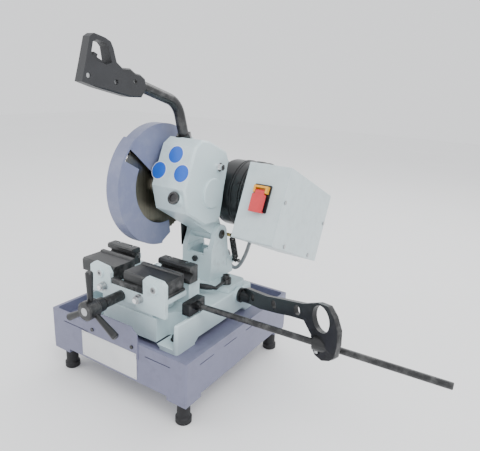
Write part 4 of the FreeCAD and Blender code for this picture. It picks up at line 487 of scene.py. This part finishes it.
def make_lead():
    """The free lead from the box's gland to the column, on one smooth line, with its strain relief."""
    route = [MIDDLE + Vector(point) for point in LEAD_ROUTE]
    curve = bpy.data.curves.new("lead", "CURVE")
    curve.dimensions = "3D"
    curve.resolution_u = 24
    spline = curve.splines.new("NURBS")
    spline.points.add(len(route) - 1)
    for target, point in zip(spline.points, route):
        target.co = (*point, 1.0)
    spline.order_u = 3
    spline.use_endpoint_u = True
    line_mesh = mesh_of(curve)
    line = [vertex.co.copy() for vertex in line_mesh.vertices]
    curve.bevel_depth = LEAD_D / 2
    curve.bevel_resolution = 6
    curve.use_fill_caps = True
    lead = place("lead", mesh_of(curve), "lead", None)
    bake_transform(lead)
    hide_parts("control_lead")
    relief_mesh = tapered_sleeve("strain relief", line, RELIEF_LENGTH, RELIEF_WIDE_R, RELIEF_NARROW_R)
    relief = place("strain_relief", relief_mesh, "rubber", "head")


def tapered_sleeve(name, line, length, wide, narrow):
    """A ribbed sleeve round the start of a line, narrowing along it."""
    bm = bmesh.new()
    rings = []
    steps = 28
    walked = 0.0
    count = 0
    for here, ahead in zip(line, line[1:]):
        if walked > length:
            break
        along = (ahead - here).normalized()
        side = along.cross(Vector((0, 1, 0))).normalized()
        other = along.cross(side)
        radius = wide + (narrow - wide) * min(1.0, walked / length) - (0.0006 if count % 2 else 0.0)
        ring = []
        for i in range(steps):
            turn = 2 * math.pi * i / steps
            ring.append(bm.verts.new(here + side * radius * math.cos(turn) + other * radius * math.sin(turn)))
        rings.append(ring)
        walked += (ahead - here).length
        count += 1
    for low, high in zip(rings, rings[1:]):
        for i in range(steps):
            j = (i + 1) % steps
            bm.faces.new((low[i], low[j], high[j], high[i]))
    bm.faces.new(rings[0])
    bm.faces.new(rings[-1])
    return finished_mesh(bm, name, Matrix.Identity(4), 50.0)


# Stage, lights and camera

SOFTBOXES = (((1.6, -0.9, 2.2), 1.4, 34.0), ((-1.7, -1.5, 1.5), 1.6, 10.0), ((0.2, 1.6, 2.0), 1.5, 18.0))


def floor_and_lights():
    mesh = bpy.data.meshes.new("floor")
    side = 6.0
    corners = [(-side, -side, 0), (side, -side, 0), (side, side, 0), (-side, side, 0)]
    mesh.from_pydata(corners, [], [(0, 1, 2, 3)])
    floor = bpy.data.objects.new("floor", mesh)
    bpy.context.scene.collection.objects.link(floor)
    pale = surface("pale floor", (0.95, 0.95, 0.95), 0.01, 2.0, 0.8, grain=60.0, depth=0.0)
    floor.data.materials.append(pale)
    world = bpy.data.worlds.new("studio")
    bpy.context.scene.world = world
    world.use_nodes = True
    back = world.node_tree.nodes["Background"]
    back.inputs["Color"].default_value = (0.97, 0.98, 1.0, 1)
    back.inputs["Strength"].default_value = 1.3
    for spot, size, power in SOFTBOXES:
        place_at = MIDDLE + Vector(spot)
        aim = MIDDLE + Vector((0.0, 0.0, 0.3))
        light = bpy.data.lights.new("softbox", "AREA")
        light.size = size
        light.energy = power
        lamp = bpy.data.objects.new("softbox", light)
        lamp.location = place_at
        lamp.rotation_euler = (aim - place_at).to_track_quat("-Z", "Y").to_euler()
        bpy.context.scene.collection.objects.link(lamp)


CAMERA_LENS = 36.0
CAMERA_SENSOR = 36.0
CAMERA_AT = MIDDLE + Vector((0.648, -0.776, 0.632))
CAMERA_YAW = math.radians(31.98)
CAMERA_PITCH = math.radians(16.84)
CAMERA_ROLL = math.radians(2.58)


def set_camera():
    """The photo's camera: 36 mm lens on a 36 mm sensor, solved from the tray, box and jaws."""
    forward = Vector((-math.sin(CAMERA_YAW) * math.cos(CAMERA_PITCH),
                      math.cos(CAMERA_YAW) * math.cos(CAMERA_PITCH), -math.sin(CAMERA_PITCH)))
    level = forward.cross(Vector((0, 0, 1))).normalized()
    up0 = level.cross(forward)
    right = level * math.cos(CAMERA_ROLL) + up0 * math.sin(CAMERA_ROLL)
    up = right.cross(forward)
    data = bpy.data.cameras.new("camera")
    data.sensor_width = CAMERA_SENSOR
    data.lens = CAMERA_LENS
    data.clip_start = 0.01
    data.dof.use_dof = False
    cam = bpy.data.objects.new("camera", data)
    matrix = Matrix((right, up, -forward)).transposed().to_4x4()
    matrix.translation = CAMERA_AT
    cam.matrix_world = matrix
    bpy.context.scene.collection.objects.link(cam)
    bpy.context.scene.camera = cam


set_camera()
make_lead()
floor_and_lights()
dress_nodes()
make_stickers()
make_label_plate()
make_motor_cowl()
make_spring()
